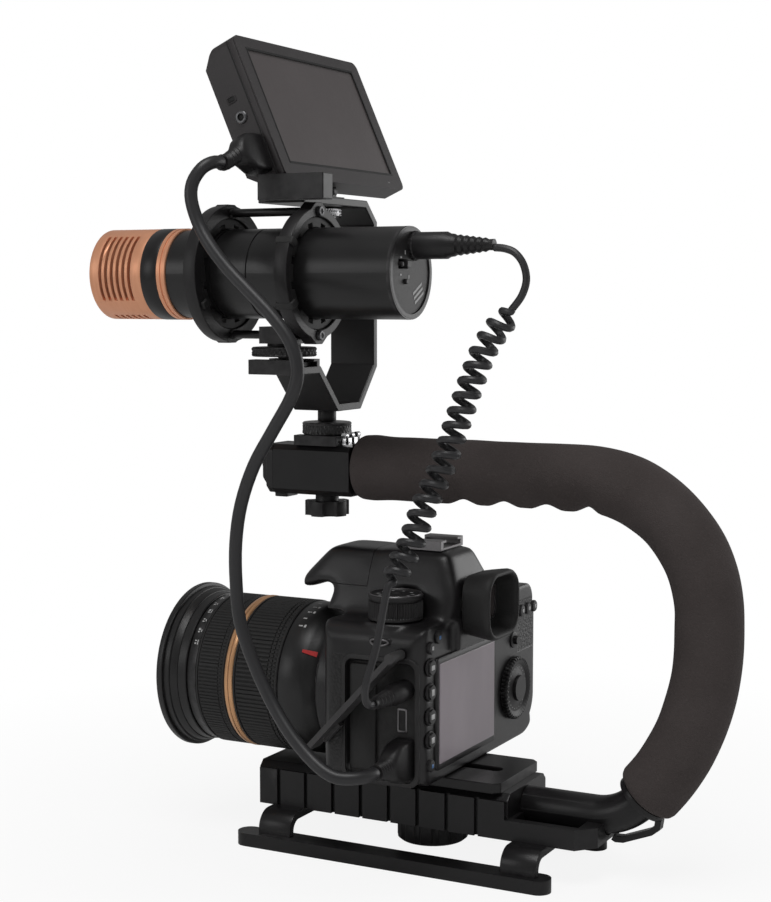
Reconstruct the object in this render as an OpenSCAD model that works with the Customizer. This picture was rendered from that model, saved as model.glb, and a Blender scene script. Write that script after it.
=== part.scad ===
// Hand-held cinema camera rig: a C-shaped grip on a ribbed base with two foot bars carries a
// reflex camera with a wide lens; a bent bracket on the grip's head carries a shock-mounted
// microphone and a tilting monitor. Millimetres, +Z up, -Y towards the scene, +X operator's left.

/* [Base and feet] */
// Length of the ribbed block
block_l = 135; // [125:1:150]
// Width of the ribbed block across its side pads
base_w = 50; // [46:1:58]
// Height of the ribbed block
base_h = 21; // [19:0.5:26]
// Height of the rear tray above the base's underside
tray_h = 9.5; // [8:0.5:11]
// Length of the rear tray behind the block
tray_l = 42; // [36:1:50]
// Number of side pads along the block
pad_n = 8; // [4:1:10]
// Distance from the floor to the base's underside
base_z = 17.5; // [16.5:0.5:22]
// Distance from the rig's middle plane to each foot bar
foot_x = 36; // [33:1:45]
// Length of each foot bar
foot_l = 166; // [150:1:190]
// Width of each foot bar
foot_w = 12; // [9:0.5:15]
// Thickness of each foot bar
foot_h = 6.5; // [5:0.5:8]
// Thickness of the bent foot straps
strap_t = 4; // [3:0.25:5]
// Width of the bent foot straps
strap_w = 18; // [14:1:22]
// Radius of the camera knob
knob_r = 17.3; // [14:0.1:19]
// Thickness of the camera plate
plate_t = 4.9; // [4:0.1:7]

/* [C grip] */
// Outer radius of the grip tube
tube_r = 9; // [8:0.25:9.25]
// Wall of the grip tube
tube_wall = 2; // [1.5:0.25:3]
// Outer radius of the foam sleeve
foam_r = 15.5; // [13:0.25:17]
// Height of the top arm's centre line
arm_z = 186; // [180:1:205]
// Distance from the lens flange back to the upright's centre line
grip_y = 185; // [178:1:200]
// Radius of the upper bend
top_bend_r = 60; // [45:1:62]
// Radius of the long lower bend
low_bend_r = 111; // [105:1:120]
// Angle that the lower bend turns through
low_bend_a = 42; // [38:1:46]
// Radius of the small bend above the tray
tray_bend_r = 30; // [24:1:31]
// Length of the machined head block
head_l = 43; // [40:1:50]
// Width of the head block
head_w = 25; // [24:0.5:30]
// Height of the head block
head_h = 24.5; // [23.5:0.5:28]
// Radius of the lobed head knob
head_knob_r = 11; // [9:0.5:13]

/* [Shoes and bracket] */
// Width of a shoe foot
shoe_foot_w = 18.5; // [18:0.1:18.6]
// Thickness of a shoe foot
shoe_foot_t = 1.9; // [1.5:0.1:2]
// Thickness of the bracket strip
strip_t = 3.5; // [3:0.25:4]
// Width of the bracket strip
strip_w = 25; // [22:1:28]
// Distance from the middle plane to the microphone's axis
mic_x = 41; // [40:0.5:44]
// Radius of the bracket's lock wheel
wheel_r = 12.3; // [10:0.1:13]
// Radius of the microphone's lock wheel
mic_wheel_r = 15.5; // [12:0.1:16]
// Height of the bracket's top flat
top_flat_z = 315.25; // [314:0.25:325]

/* [Microphone] */
// Radius of the microphone's body
mic_r = 21.25; // [19:0.25:21.75]
// Length of the black body behind the grille
mic_l = 134.5; // [128:0.5:140]
// Radius of the copper grille cap
grille_r = 22; // [21.9:0.05:23]
// Length of the copper grille cap
grille_l = 30; // [26:1:36]
// Distance from the lens flange forward to the microphone's front
mic_front = 109; // [104:1:116]
// Height of the microphone's axis
mic_z = 280.4; // [280:0.2:283]
// Inner radius of the shock rings
ring_in_r = 26.5; // [26:0.25:27]
// Outer radius of the front shock ring
ring_front_r = 32.5; // [31:0.25:33]
// Outer radius of the rear shock ring
ring_rear_r = 30.5; // [30.25:0.25:31]

/* [Camera] */
// Distance from the middle plane to the body's left end
body_left = 50; // [48:0.5:52]
// Distance from the middle plane to the body's right end
body_right = 86; // [80:1:92]
// Height of the camera body's shoulders above its underside
body_h = 74.5; // [72:0.5:78]
// Height of the lens axis above the camera's underside
lens_h = 35.6; // [35.2:0.1:37]
// Width of the rear display window
lcd_w = 62; // [54:1:64]
// Height of the rear display window
lcd_h = 47.5; // [40:0.5:48]
// Radius of the mode dial
mode_r = 12.9; // [10:0.1:13]
// Radius of the rear dial
rear_dial_r = 16; // [13:0.5:17]

/* [Lens] */
// Radius of the rubber lens rings
lens_r = 38.2; // [36:0.1:38.6]
// Radius of the front rim
rim_r = 42; // [40.5:0.1:44]
// Length of the lens from the flange
lens_l = 87.5; // [84:0.5:96]
// Radius of the filter seat in the front rim
filter_r = 38.5; // [37:0.1:39]

/* [Monitor] */
// Width of the monitor
mon_w = 121.5; // [110:0.5:121.5]
// Height of the monitor
mon_h = 74.3; // [66:0.1:80]
// Thickness of the monitor
mon_t = 20.5; // [18:0.5:24]
// Lean of the monitor away from the operator
mon_tilt = 23.8; // [0:0.1:40]

/* [Fits] */
// Radial clearance of a running fit
run_gap = 0.04; // [0.02:0.01:0.08]
// Gap between separate moving faces
gap = 0.3; // [0.2:0.05:0.5]
// Clearance of a screw through a plain hole
hole_gap = 0.15; // [0.1:0.05:0.3]

/* [Hidden] */
$fn = 48;
// The rig's own axes are the lens axis and its flange; the origin lies under the outline's middle
mon_x = -19.75;
shift_x = (max(body_right, mon_w / 2 - mon_x) - mic_x - max(ring_front_r, ring_rear_r)) / 2;
shift_y = (mic_front - grip_y - foam_r) / 2;
base_y0 = -38;
block_y1 = base_y0 + block_l;
tray_y1 = block_y1 + tray_l;
base_top = base_z + base_h;
tray_top = base_z + tray_h;
pad_t = 2;
pad_gap = 2;
pad_pitch = (block_l - 12) / pad_n;
strap_y = [-21, 108.5];
strap_screw_x = 14;
strap_screw_r = 2;
clamp_y = [tray_y1 - 14, tray_y1 - 5];
foot_y = 41;
knob_y = 47;
knob_h = 10;
cam_screw_r = 3.175;
cam_z = base_top + plate_t;
plate_y0 = 5;
plate_y1 = 93;
plate_slot_y = [25, 84];
tube_in = tube_r - tube_wall;
tray_tube_z = base_z + 2 + tube_r;
top_cy = grip_y - top_bend_r;
top_cz = arm_z - top_bend_r;
low_cy = grip_y - low_bend_r;
low_cz = 115;
foam_end = [low_cy + low_bend_r * cos(low_bend_a), low_cz - low_bend_r * sin(low_bend_a)];
tray_turn = 90 - low_bend_a;
slope_s = (foam_end.y - tray_tube_z - tray_bend_r * (1 - cos(tray_turn))) / cos(low_bend_a);
bend_top = [foam_end.x - slope_s * sin(low_bend_a), foam_end.y - slope_s * cos(low_bend_a)];
tray_bend_y = bend_top.x - tray_bend_r * sin(tray_turn);
loop_w = 5;
mast_y = -12;
head_y1 = 7;
head_y0 = head_y1 - head_l;
head_z0 = arm_z - 14;
head_top = head_z0 + head_h;
head_cap_l = 7.5;
foam_y0 = head_y1 + gap;
stud_r = 3;
shoe_slot_w = shoe_foot_w + 2 * hole_gap;
shoe_slot_h = shoe_foot_t + 2 * hole_gap;
shoe_wall = 3;
shoe_lip_t = 1.3;
shoe_lip_w = 3.1;
shoe_l = 24;
shoe_h = shoe_slot_h + shoe_lip_t;
shoe_floor_t = 1.5;
head_shoe_floor = head_top + shoe_floor_t;
wheel_z = head_shoe_floor + shoe_h + 0.2;
wheel_h = 6;
strip_bottom_z = head_shoe_floor + 15.8;
near_shoe_z = strip_bottom_z + 21;
near_shoe_floor = near_shoe_z + strip_t / 2;
mic_wheel_z = near_shoe_floor + shoe_h + 1.4;
mic_wheel_h = 4.4;
far_x = -28;
rail_w = 9;
rail_l = 35.5;
rail_h = 12;
rail_x0 = 42.5;
top_flat_top = top_flat_z + strip_t / 2;
mic_y0 = -mic_front;
mic_y1 = mic_y0 + grille_l + mic_l;
ring_y = [-44, 4];
ring_t = 6.6;
pad_ring_t = 4;
rod_r = 2;
rod_off = ring_in_r + rod_r + 0.4;
post_r = 8;
spigot_in = 2.35;
grille_wall = 2.2;
slot_n = 6;
slot_w = 1.7;
slot_pitch = 3.4;
slot_y = 5.3;
slot_bar = 10.8;
jack_x = 37;
jack_z = mic_z + 12.4;
pin_r = 1.75;
pin_l = 13;
body_y0 = 12;
body_y1 = 66;
shoulder_z = cam_z + body_h;
lens_z = cam_z + lens_h;
flange_r = lens_r - 5.2;
filter_depth = 6.5;
glass_r = 50;
core_r = lens_r - 5.2;
core_in = lens_r - 8.7;
lcd_x0 = -27.5;
lcd_z0 = cam_z + 8.8;
lcd_t = 2;
dial_x = 34;
dial_y = 44;
dial_h = 12.4;
rear_dial_x = -54;
rear_dial_z = cam_z + 27.5;
rear_dial_t = 3;
button_x = 42;
button_r = 3.3;
button_z = [cam_z + 56, cam_z + 44.4, cam_z + 33, cam_z + 22];
shutter_x = -67;
shutter_y = -11;
main_dial_y = 10;
main_dial_z = shoulder_z + 0.3;
grip_y0 = -24;
grip_top = shoulder_z - 2;
port_y = 56;
hdmi_z = cam_z + 13.6;
audio_z = cam_z + 45.6;
flap_top = [55, cam_z + 62.5];
flap_l = 64;
flap_a = 43;
prism_y1 = 70;
prism_z1 = cam_z + 105.5;
flash_y1 = 22;
eyecup_y1 = 85;
hinge_x = -6;
pivot_y = -16.5;
pivot_z = top_flat_top + 4.5;
mon_front = 7.8;
mon_bottom = 1.1;
screen_w = 105;
screen_h = 60;
lug_r = 2.6;
lug_w = 8;
ear_w = 3.5;
hinge_pin_r = 1.2;
hinge_plate_t = 1.6;
mon_wheel_r = 8.5;
mon_wheel_h = 5;
plug_u = 17;
plug_n = -2.2;
plug_w = 19;
hdmi_d = 6;
lead_d = 3.5;
coil_d = 13;
plug_end_x = 72;
port_plug_end_x = 78;
audio_plug_end_x = 80;
mic_plug_y = 95;
// Route of the thick display cable, from the monitor's plug to the camera's plug
hdmi_path = [[72, -27, 331], [78, -27.5, 330.5], [83, -30, 327.5], [86, -33, 321], [87, -33, 313],
    [87, -29, 302], [88, -22, 292], [88, -13, 282], [88, -2, 272], [88, 10, 261], [88, 19, 250],
    [88, 23, 238], [88, 20, 226], [88, 10, 210], [88, 0, 194], [88, -7, 176], [88, -10, 158],
    [88, -10, 140], [88, -8, 122], [88, -1, 104], [89, 9, 87], [91, 20, 74], [92, 30, 65],
    [93, 38, 60], [92.5, 44, 57.5], [90.5, 49.5, 57], [86.5, 54, 57], [81, 56, 57], [78, 56, 57]];
// Route of the audio lead from the microphone's plug to the top of the curl
lead_top_path = [[37, 95, 291.5], [37, 100, 291], [37, 105, 289], [37, 109, 284], [37, 110.5, 277],
    [37.5, 108.5, 270], [38, 104, 264]];
// Middle line of the curled stretch
coil_path = [[38, 104, 264], [39, 98, 256], [41, 92, 246], [45, 87, 230], [49, 82.5, 213],
    [54, 78, 195], [60, 72, 177], [66, 68, 160], [71, 64, 149], [74, 62, 143]];
// Route of the audio lead from the bottom of the curl to the camera's audio plug
lead_low_path = [[74, 62, 143], [75.5, 61, 140], [78.5, 60, 128], [82, 59, 115], [85.5, 57.5, 105],
    [87.5, 56.5, 98], [86.5, 56, 92.5], [83.5, 56, 89.5], [80, 56, 89]];

// ---- helpers -------------------------------------------------------------------------------

// Puts the rig's own axes over the shared origin
module rig() translate([shift_x, shift_y, 0]) children();

module rod_x(x0, x1, y, z, r) translate([x0, y, z]) rotate([0, 90, 0]) cylinder(r = r, h = x1 - x0);
module rod_y(y0, y1, x, z, r) translate([x, y1, z]) rotate([90, 0, 0]) cylinder(r = r, h = y1 - y0);
module rod_z(z0, z1, x, y, r) translate([x, y, z0]) cylinder(r = r, h = z1 - z0);
module block(x0, x1, y0, y1, z0, z1) translate([x0, y0, z0]) cube([x1 - x0, y1 - y0, z1 - z0]);

// A cone or ring of revolution about a line along Y
module turned_y(x, y, z) translate([x, y, z]) rotate([-90, 0, 0]) rotate_extrude() children();

module round_rect(x0, x1, y0, y1, r) {
    translate([x0 + r, y0]) square([x1 - x0 - 2 * r, y1 - y0]);
    translate([x0, y0 + r]) square([x1 - x0, y1 - y0 - 2 * r]);
    for (x = [x0 + r, x1 - r], y = [y0 + r, y1 - r]) translate([x, y]) circle(r);
}

// Extrudes an outline drawn in X and Z along Y
module along_y(y0, y1) translate([0, y1, 0]) rotate([90, 0, 0]) linear_extrude(y1 - y0) children();

// An upright plane across the rig: x of the child lies along Y and y along Z
module upright() rotate([90, 0, 90]) children();

module tube_section(r, hole) difference() {
    circle(r);
    if (hole > 0) circle(hole);
}
module tube_bend(center, bend_r, a0, a1, r, hole) translate([0, center.x, center.y]) upright()
    rotate_extrude(start = a0, angle = a1 - a0) translate([bend_r, 0]) tube_section(r, hole);
module tube_run(y0, y1, z, r, hole) translate([0, y1, z]) rotate([90, 0, 0])
    linear_extrude(y1 - y0) tube_section(r, hole);

function unit(v) = v / norm(v);
function mitre(path, i) = let(
    a = i == 0 ? path[1] - path[0] : path[i] - path[i - 1],
    b = i == len(path) - 1 ? a : path[i + 1] - path[i],
    n = unit([-a.y, a.x]), m = unit([-b.y, b.x])) (n + m) / (1 + n * m);
// Closed outline of a strip of one thickness along a path
function strip_outline(path, t) = concat(
    [for (i = [0:len(path) - 1]) path[i] + mitre(path, i) * t / 2],
    [for (i = [len(path) - 1:-1:0]) path[i] - mitre(path, i) * t / 2]);

function tangent(path, i) = unit(path[min(i + 1, len(path) - 1)] - path[max(i - 1, 0)]);
// Directions across a path that turn as little as possible from point to point
function across(path, i = 0, before = [0, 1, 0.3]) = i == len(path) ? [] :
    let(t = tangent(path, i), u = unit(before - (before * t) * t))
    concat([u], across(path, i + 1, u));
// A tube swept along a path, as one closed polyhedron
module swept_tube(path, d, sides) {
    sideways = across(path);
    n = len(path);
    points = [for (i = [0:n - 1]) let(t = tangent(path, i), u = sideways[i], v = cross(t, u))
        for (k = [0:sides - 1]) path[i] + (u * cos(360 * k / sides) + v * sin(360 * k / sides)) * d / 2];
    walls = [for (i = [0:n - 2], k = [0:sides - 1]) let(j = (k + 1) % sides)
        [i * sides + k, (i + 1) * sides + k, (i + 1) * sides + j, i * sides + j]];
    caps = [[for (k = [0:sides - 1]) k], [for (k = [sides - 1:-1:0]) (n - 1) * sides + k]];
    polyhedron(points, concat(walls, caps));
}

// A cold shoe's channel standing on a floor at z = 0, open along Y
module shoe_channel(length) difference() {
    w = shoe_slot_w + 2 * shoe_wall;
    block(-w / 2, w / 2, -length / 2, length / 2, 0, shoe_h);
    block(-shoe_slot_w / 2, shoe_slot_w / 2, -length, length, -1, shoe_slot_h);
    block(-shoe_slot_w / 2 + shoe_lip_w, shoe_slot_w / 2 - shoe_lip_w, -length, length, 0, shoe_h + 1);
}
module lock_wheel(r, h, bore) difference() {
    rotate_extrude() polygon([[bore, 0], [r - 1.5, 0], [r, 1.2], [r, h - 0.7], [r - 0.7, h], [bore, h]]);
    translate([0, 0, -1]) cylinder(r = bore, h = h + 2);
}
// Places things in the leaning monitor's own axes: y out of the screen, z up along it
module on_monitor() translate([0, pivot_y, pivot_z]) rotate([mon_tilt, 0, 0]) children();

// ---- base, feet and plate ------------------------------------------------------------------

module base_body() rig() color("#1c1b1d") difference() {
    core = base_w / 2 - pad_t;
    bevel = 3;
    union() {
        along_y(base_y0, block_y1) polygon([[-core, base_z], [core, base_z], [core, base_top - bevel],
            [core - bevel, base_top], [-core + bevel, base_top], [-core, base_top - bevel]]);
        for (side = [-1, 1], k = [0:pad_n - 1])
            translate([side * (core + pad_t / 2 - 0.01), base_y0 + 12 + pad_pitch * (k + 0.5), base_z])
                translate([-pad_t / 2 - 0.01, (pad_gap - pad_pitch) / 2, 0])
                    cube([pad_t + 0.02, pad_pitch - pad_gap, base_h - bevel]);
        for (side = [-1, 1]) block(side > 0 ? core - 0.01 : -core - pad_t, side > 0 ? core + pad_t :
            -core + 0.01, base_y0 + 1, base_y0 + 11, base_z, base_top - bevel);
        translate([0, 0, base_z]) linear_extrude(tray_h) polygon([[-base_w / 2, block_y1 - 1],
            [base_w / 2, block_y1 - 1], [base_w / 2, tray_y1 - 8], [base_w / 2 - 9, tray_y1],
            [9 - base_w / 2, tray_y1], [-base_w / 2, tray_y1 - 8]]);
    }
    // deep recess of the tray and the trough that the grip tube lies in
    block(-base_w / 2 + 5, base_w / 2 - 5, block_y1 + 2, tray_y1 - 8, base_z + 4, tray_top + 1);
    tube_run(block_y1, tray_y1 + 1, tray_tube_z, tube_r + run_gap, 0);
    // slot for the camera screw
    block(-cam_screw_r - hole_gap, cam_screw_r + hole_gap, knob_y - 20, knob_y + 20, base_z - 1, base_top + 1);
    for (y = strap_y, x = [-strap_screw_x, strap_screw_x])
        rod_z(base_z - 1, base_z + 5.1, x, y, strap_screw_r);
    for (y = clamp_y) rod_z(base_z - 1, base_z + 4, 0, y, strap_screw_r + hole_gap);
}

module foot_bars() rig() color("#1b1b1c") for (side = [-1, 1])
    difference() {
        linear_extrude(foot_h) round_rect(side * foot_x - foot_w / 2, side * foot_x + foot_w / 2,
            foot_y - foot_l / 2, foot_y + foot_l / 2, foot_w / 2 - 0.01);
        for (y = strap_y) rod_z(2, foot_h + 1, side * foot_x, y, 1.5);
    }

// One bent strap across the base at each end, its legs standing on the foot bars
module foot_straps() rig() color("#19191a") for (y = strap_y) difference() {
    reach = foot_x + strap_t / 2;
    bend = 9;
    along_y(y - strap_w / 2, y + strap_w / 2) difference() {
        round_rect(-reach, reach, foot_h - 20, base_z, bend);
        round_rect(-reach + strap_t, reach - strap_t, foot_h - 22, base_z - strap_t, bend - strap_t);
        translate([-reach - 1, foot_h - 40]) square([2 * reach + 2, 40]);
    }
    for (x = [-strap_screw_x, strap_screw_x])
        rod_z(base_z - strap_t - 1, base_z + 1, x, y, strap_screw_r + hole_gap);
}

module pan_screw(x, y, z, head_r, head_h, shank_r, length) {
    rod_z(z - head_h, z, x, y, head_r);
    rod_z(z - 0.01, z + length, x, y, shank_r);
}
module base_screws() rig() color("#8f8f92") {
    for (y = strap_y, x = [-strap_screw_x, strap_screw_x])
        pan_screw(x, y, base_z - strap_t, 3.6, 2.2, strap_screw_r - run_gap, strap_t + 5);
    for (y = clamp_y)
        pan_screw(0, y, base_z, 3.4, 2, strap_screw_r - run_gap, 3.9);
}

module camera_plate() rig() color("#232325") difference() {
    w = base_w / 2;
    translate([0, 0, base_top]) linear_extrude(plate_t) polygon([[-w + 3, plate_y0], [w - 3, plate_y0],
        [w, plate_y0 + 3], [w, plate_y1 - 3], [w - 3, plate_y1], [3 - w, plate_y1], [-w, plate_y1 - 3],
        [-w, plate_y0 + 3]]);
    r = cam_screw_r + hole_gap;
    block(-r, r, plate_slot_y[0] + r, plate_slot_y[1] - r, base_top - 1, cam_z + 1);
    for (y = [plate_slot_y[0] + r, plate_slot_y[1] - r]) rod_z(base_top - 1, cam_z + 1, 0, y, r);
}

module camera_knob() rig() color("#151515") translate([0, knob_y, base_z - 0.2 - knob_h - 2]) difference() {
    union() {
        lock_wheel(knob_r, knob_h, cam_screw_r);
        translate([0, 0, knob_h - 0.01]) cylinder(r = knob_r / 2, h = 2.01);
    }
    translate([0, 0, 2]) cylinder(r = cam_screw_r, h = knob_h + 4);
    for (k = [0:11]) rotate([0, 0, k * 30]) translate([knob_r + 0.8, 0, -1]) cylinder(r = 2, h = knob_h + 2);
}
module camera_screw() rig() color("#a9a9ac") rod_z(base_z - 0.2 - knob_h, cam_z + 8.5, 0, knob_y, cam_screw_r);

// ---- C grip --------------------------------------------------------------------------------

module grip_sweep(r, hole) {
    tube_bend([low_cy, low_cz], low_bend_r, -low_bend_a, 0, r, hole);
    translate([0, grip_y, low_cz]) linear_extrude(top_cz - low_cz) tube_section(r, hole);
    tube_bend([top_cy, top_cz], top_bend_r, 0, 90, r, hole);
}
module handle_tube() rig() color("#141414") difference() {
    handle_sweep();
    for (y = clamp_y) rod_z(tray_tube_z - tube_r - 1, tray_tube_z, 0, y, strap_screw_r);
}
module handle_sweep() {
    tube_run(block_y1 + gap, tray_bend_y, tray_tube_z, tube_r, tube_in);
    tube_bend([tray_bend_y, tray_tube_z + tray_bend_r], tray_bend_r, 270, 270 + tray_turn, tube_r, tube_in);
    translate([0, bend_top.x, bend_top.y]) rotate([-low_bend_a, 0, 0]) linear_extrude(slope_s)
        tube_section(tube_r, tube_in);
    grip_sweep(tube_r, tube_in);
    tube_run(-4, top_cy, arm_z, tube_r, tube_in);
}
module foam_grip() rig() color("#352e2d") {
    grip_sweep(foam_r, tube_r + gap);
    tube_run(foam_y0, top_cy, arm_z, foam_r, tube_r + gap);
}
// Collar round the tube under the sleeve, with the loop that takes a strap
module strap_loop() rig() color("#1f1f21") {
    loop_path = [[6.7, -10.4], [6.1, -14.2], [3, -16.7], [-10.5, -22], [-13.9, -22.2], [-15.4, -21.4]];
    translate([0, foam_end.x, foam_end.y]) rotate([-low_bend_a, 0, 0]) difference() {
        translate([0, 0, -3.2]) cylinder(r = 13, h = 3);
        translate([0, 0, -5]) cylinder(r = tube_r + gap / 2, h = 6);
    }
    translate([-loop_w / 2, foam_end.x, foam_end.y]) upright() linear_extrude(loop_w)
        polygon(strip_outline(loop_path, 3));
}

// ---- head, shoe and bracket ----------------------------------------------------------------

module head_outline(cut, shrink) {
    w = head_w / 2 - shrink;
    z0 = head_z0 + shrink;
    z1 = head_top - shrink;
    polygon([[cut - w, z0], [w - cut, z0], [w, z0 + cut], [w, z1 - cut], [w - cut, z1], [cut - w, z1],
        [-w, z1 - cut], [-w, z0 + cut]]);
}
module head_block() rig() color("#1a191a") difference() {
    along_y(head_y0, head_y1) head_outline(2.5, 0);
    tube_run(-5, head_y1 + 1, arm_z, tube_r + run_gap, 0);
    rod_z(head_z0 - 1, head_top + 1, 0, mast_y, stud_r + run_gap);
}
module head_cap() rig() color("#171717") union() {
    along_y(head_y0 - 4, head_y0) head_outline(3, 0);
    along_y(head_y0 - head_cap_l, head_y0 - 3.99) head_outline(4.5, 2.5);
    along_y(head_y0 - 3, head_y0 + 4) translate([-6, head_z0 - 2.5]) square([12, 2.5]);
}
module head_shoe() rig() color("#222224") difference() {
    w = shoe_slot_w / 2 + shoe_wall;
    union() {
        block(-w, w, mast_y - shoe_l / 2, mast_y + shoe_l / 2, head_top, head_shoe_floor);
        translate([0, mast_y, head_shoe_floor]) shoe_channel(shoe_l);
    }
    rod_z(head_top - 1, head_shoe_floor + 1, 0, mast_y, stud_r + run_gap);
}
module shoe_spring() rig() color("#d6d6da") {
    y0 = mast_y + shoe_l / 2 + gap;
    for (x = [-6, 0, 6]) {
        block(x - 1.6, x + 1.6, y0, y0 + 6, head_top, head_top + 0.8);
        block(x - 1.6, x + 1.6, y0, y0 + 0.8, head_top + 0.79, head_top + 5);
        rod_x(x - 1.6, x + 1.6, y0 + 1.4, head_top + 5, 1.4);
    }
    block(-7.6, 7.6, y0 + 5, y0 + 6.2, head_top, head_top + 1.2);
}
module head_knob() rig() color("#161616") translate([0, mast_y, 0]) {
    z1 = head_z0 - gap;
    translate([0, 0, z1 - 10.5]) linear_extrude(7.2) difference() {
        circle(head_knob_r);
        for (k = [0:4]) rotate([0, 0, 36 + 72 * k]) translate([head_knob_r + 2.2, 0]) circle(4.6);
    }
    translate([0, 0, z1 - 3.31]) cylinder(r = 5.8, h = 3.31);
    translate([0, 0, z1 - 0.01]) cylinder(r = stud_r, h = gap + head_h + shoe_floor_t);
}

module bracket_foot() rig() color("#202022") translate([0, mast_y, 0]) {
    z0 = head_shoe_floor + hole_gap;
    block(-shoe_foot_w / 2, shoe_foot_w / 2, -9.2, 9.2, z0, z0 + shoe_foot_t);
    rod_z(z0 + shoe_foot_t - 0.01, strip_bottom_z, 0, 0, stud_r);
    rod_z(wheel_z + wheel_h + gap, strip_bottom_z, 0, 0, 4.6);
}
module bracket_wheel() rig() color("#2a2a2c") translate([0, mast_y, wheel_z])
    lock_wheel(wheel_r, wheel_h, stud_r + run_gap);

module bracket() rig() color("#2a292b") difference() {
    y0 = mast_y - strip_w / 2;
    y1 = mast_y + strip_w / 2;
    zb = strip_bottom_z + strip_t / 2;
    shoe_half = shoe_slot_w / 2 + shoe_wall;
    path = [[mic_x + shoe_half, near_shoe_z], [mic_x - shoe_half, near_shoe_z], [10, zb], [-11.5, zb],
        [far_x, near_shoe_z], [far_x, top_flat_z - 9], [far_x + 9.5, top_flat_z], [rail_x0 + 1, top_flat_z]];
    union() {
        along_y(y0, y1) polygon(strip_outline(path, strip_t));
        translate([mic_x, mast_y, near_shoe_floor - 0.01]) shoe_channel(strip_w);
        // accessory rail at the end of the top flat
        block(rail_x0, rail_x0 + rail_w, mast_y - 8, mast_y - 8 + rail_l, top_flat_z - 0.75, top_flat_z - 0.75 + rail_h);
    }
    rod_z(top_flat_z - 5, top_flat_z + 5, hinge_x, pivot_y, stud_r + run_gap);
}

// ---- microphone and shock mount ------------------------------------------------------------

module shock_rings() rig() color("#2c2b2d") for (k = [0, 1]) difference() {
    r = k == 0 ? ring_front_r : ring_rear_r;
    union() {
        rod_y(ring_y[k] - ring_t / 2, ring_y[k] + ring_t / 2, mic_x, mic_z, r);
        for (s = [-1, 1]) translate([mic_x, 0, mic_z]) along_y(ring_y[k] - ring_t / 2, ring_y[k] + ring_t / 2)
            polygon([[-12, s * (r - 4)], [-3, s * (ring_in_r + 6.5)], [3, s * (ring_in_r + 6.5)], [12, s * (r - 4)]]);
    }
    rod_y(ring_y[k] - ring_t, ring_y[k] + ring_t, mic_x, mic_z, ring_in_r);
    for (s = [-1, 1]) rod_y(ring_y[k] - ring_t, ring_y[k] + ring_t, mic_x, mic_z + s * rod_off, rod_r + 0.05);
}
module shock_rods() rig() color("#1d1d1e") for (s = [-1, 1])
    rod_y(ring_y[0] - ring_t / 2, ring_y[1] + ring_t / 2, mic_x, mic_z + s * rod_off, rod_r);
// Toothed rubber inserts that hold the microphone in the rings
module shock_pads() rig() color("#111111") for (y = ring_y) difference() {
    rod_y(y - pad_ring_t / 2, y + pad_ring_t / 2, mic_x, mic_z, ring_in_r - 0.1);
    rod_y(y - pad_ring_t, y + pad_ring_t, mic_x, mic_z, mic_r + 0.1);
    for (k = [0:11]) translate([mic_x, y, mic_z]) rotate([0, 15 + 30 * k, 0])
        translate([-1.8, -pad_ring_t, mic_r - 1]) cube([3.6, 2 * pad_ring_t, 3.4]);
}
module shock_foot() rig() color("#1f1f20") translate([mic_x, mast_y, 0]) {
    z0 = near_shoe_floor + hole_gap;
    bar_z = mic_z - rod_off;
    difference() {
        block(-8, 8, -9, 9, bar_z - 4, bar_z + 4);
        rod_y(-20, 20, 0, bar_z, rod_r + 0.05);
    }
    rod_z(mic_wheel_z + mic_wheel_h + gap, bar_z - 3.99, 0, 0, post_r);
    rod_z(z0 + shoe_foot_t - 0.01, mic_wheel_z + mic_wheel_h + gap + 0.01, 0, 0, stud_r);
    block(-shoe_foot_w / 2, shoe_foot_w / 2, -9.2, 9.2, z0, z0 + shoe_foot_t);
}
module mic_wheel() rig() color("#29292b") translate([mic_x, mast_y, mic_wheel_z])
    lock_wheel(mic_wheel_r, mic_wheel_h, stud_r + run_gap);

module mic_body() rig() color("#171617") difference() {
    rod_y(mic_y0 + grille_l, mic_y1, mic_x, mic_z, mic_r);
    rod_y(mic_y0 + grille_l - 1, mic_y1 + 1, mic_x, mic_z, mic_r - 2.25);
    for (y = [-40, -20]) difference() {
        rod_y(y - 0.4, y + 0.4, mic_x, mic_z, mic_r + 1);
        rod_y(y - 1, y + 1, mic_x, mic_z, mic_r - 0.5);
    }
}
module grille_slots() {
    difference() {
        for (k = [0 : slot_n - 1]) {
            y = mic_y0 + slot_y + k * slot_pitch;
            rod_y(y, y + slot_w, mic_x, mic_z, grille_r + 1);
        }
        // bars between the slots' three arcs
        for (a = [-50, 70, 190]) translate([mic_x, 0, mic_z]) rotate([0, -a, 0])
            block(0, grille_r + 2, mic_y0, mic_y0 + grille_l, -slot_bar / 2, slot_bar / 2);
    }
}
module mic_grille() rig() color("#d98a5c") difference() {
    union() {
        rod_y(mic_y0, mic_y0 + grille_l - 0.05, mic_x, mic_z, grille_r);
        rod_y(mic_y0 + grille_l - 6, mic_y0 + grille_l + 6, mic_x, mic_z, mic_r - spigot_in);
    }
    rod_y(mic_y0 + 2, mic_y0 + grille_l - 6, mic_x, mic_z, grille_r - grille_wall);
    rod_y(mic_y0 + grille_l - 7, mic_y0 + grille_l + 7, mic_x, mic_z, mic_r - 4);
    grille_slots();
}
module mic_rear_cap() rig() color("#242325") difference() {
    rod_y(mic_y1 - 8, mic_y1 - 0.6, mic_x, mic_z, mic_r - spigot_in);
    rod_y(mic_y1 - 20, mic_y1 + 1, jack_x, jack_z, pin_r + run_gap);
    block(mic_x + 2.5, mic_x + 11.5, mic_y1 - 9, mic_y1 + 1, mic_z + 2, mic_z + 6);
}
module mic_switch() rig() color("#4a494b") {
    block(mic_x + 3, mic_x + 7, mic_y1 - 5, mic_y1 + 1.6, mic_z + 2.4, mic_z + 5.6);
}

// ---- camera --------------------------------------------------------------------------------

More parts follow.
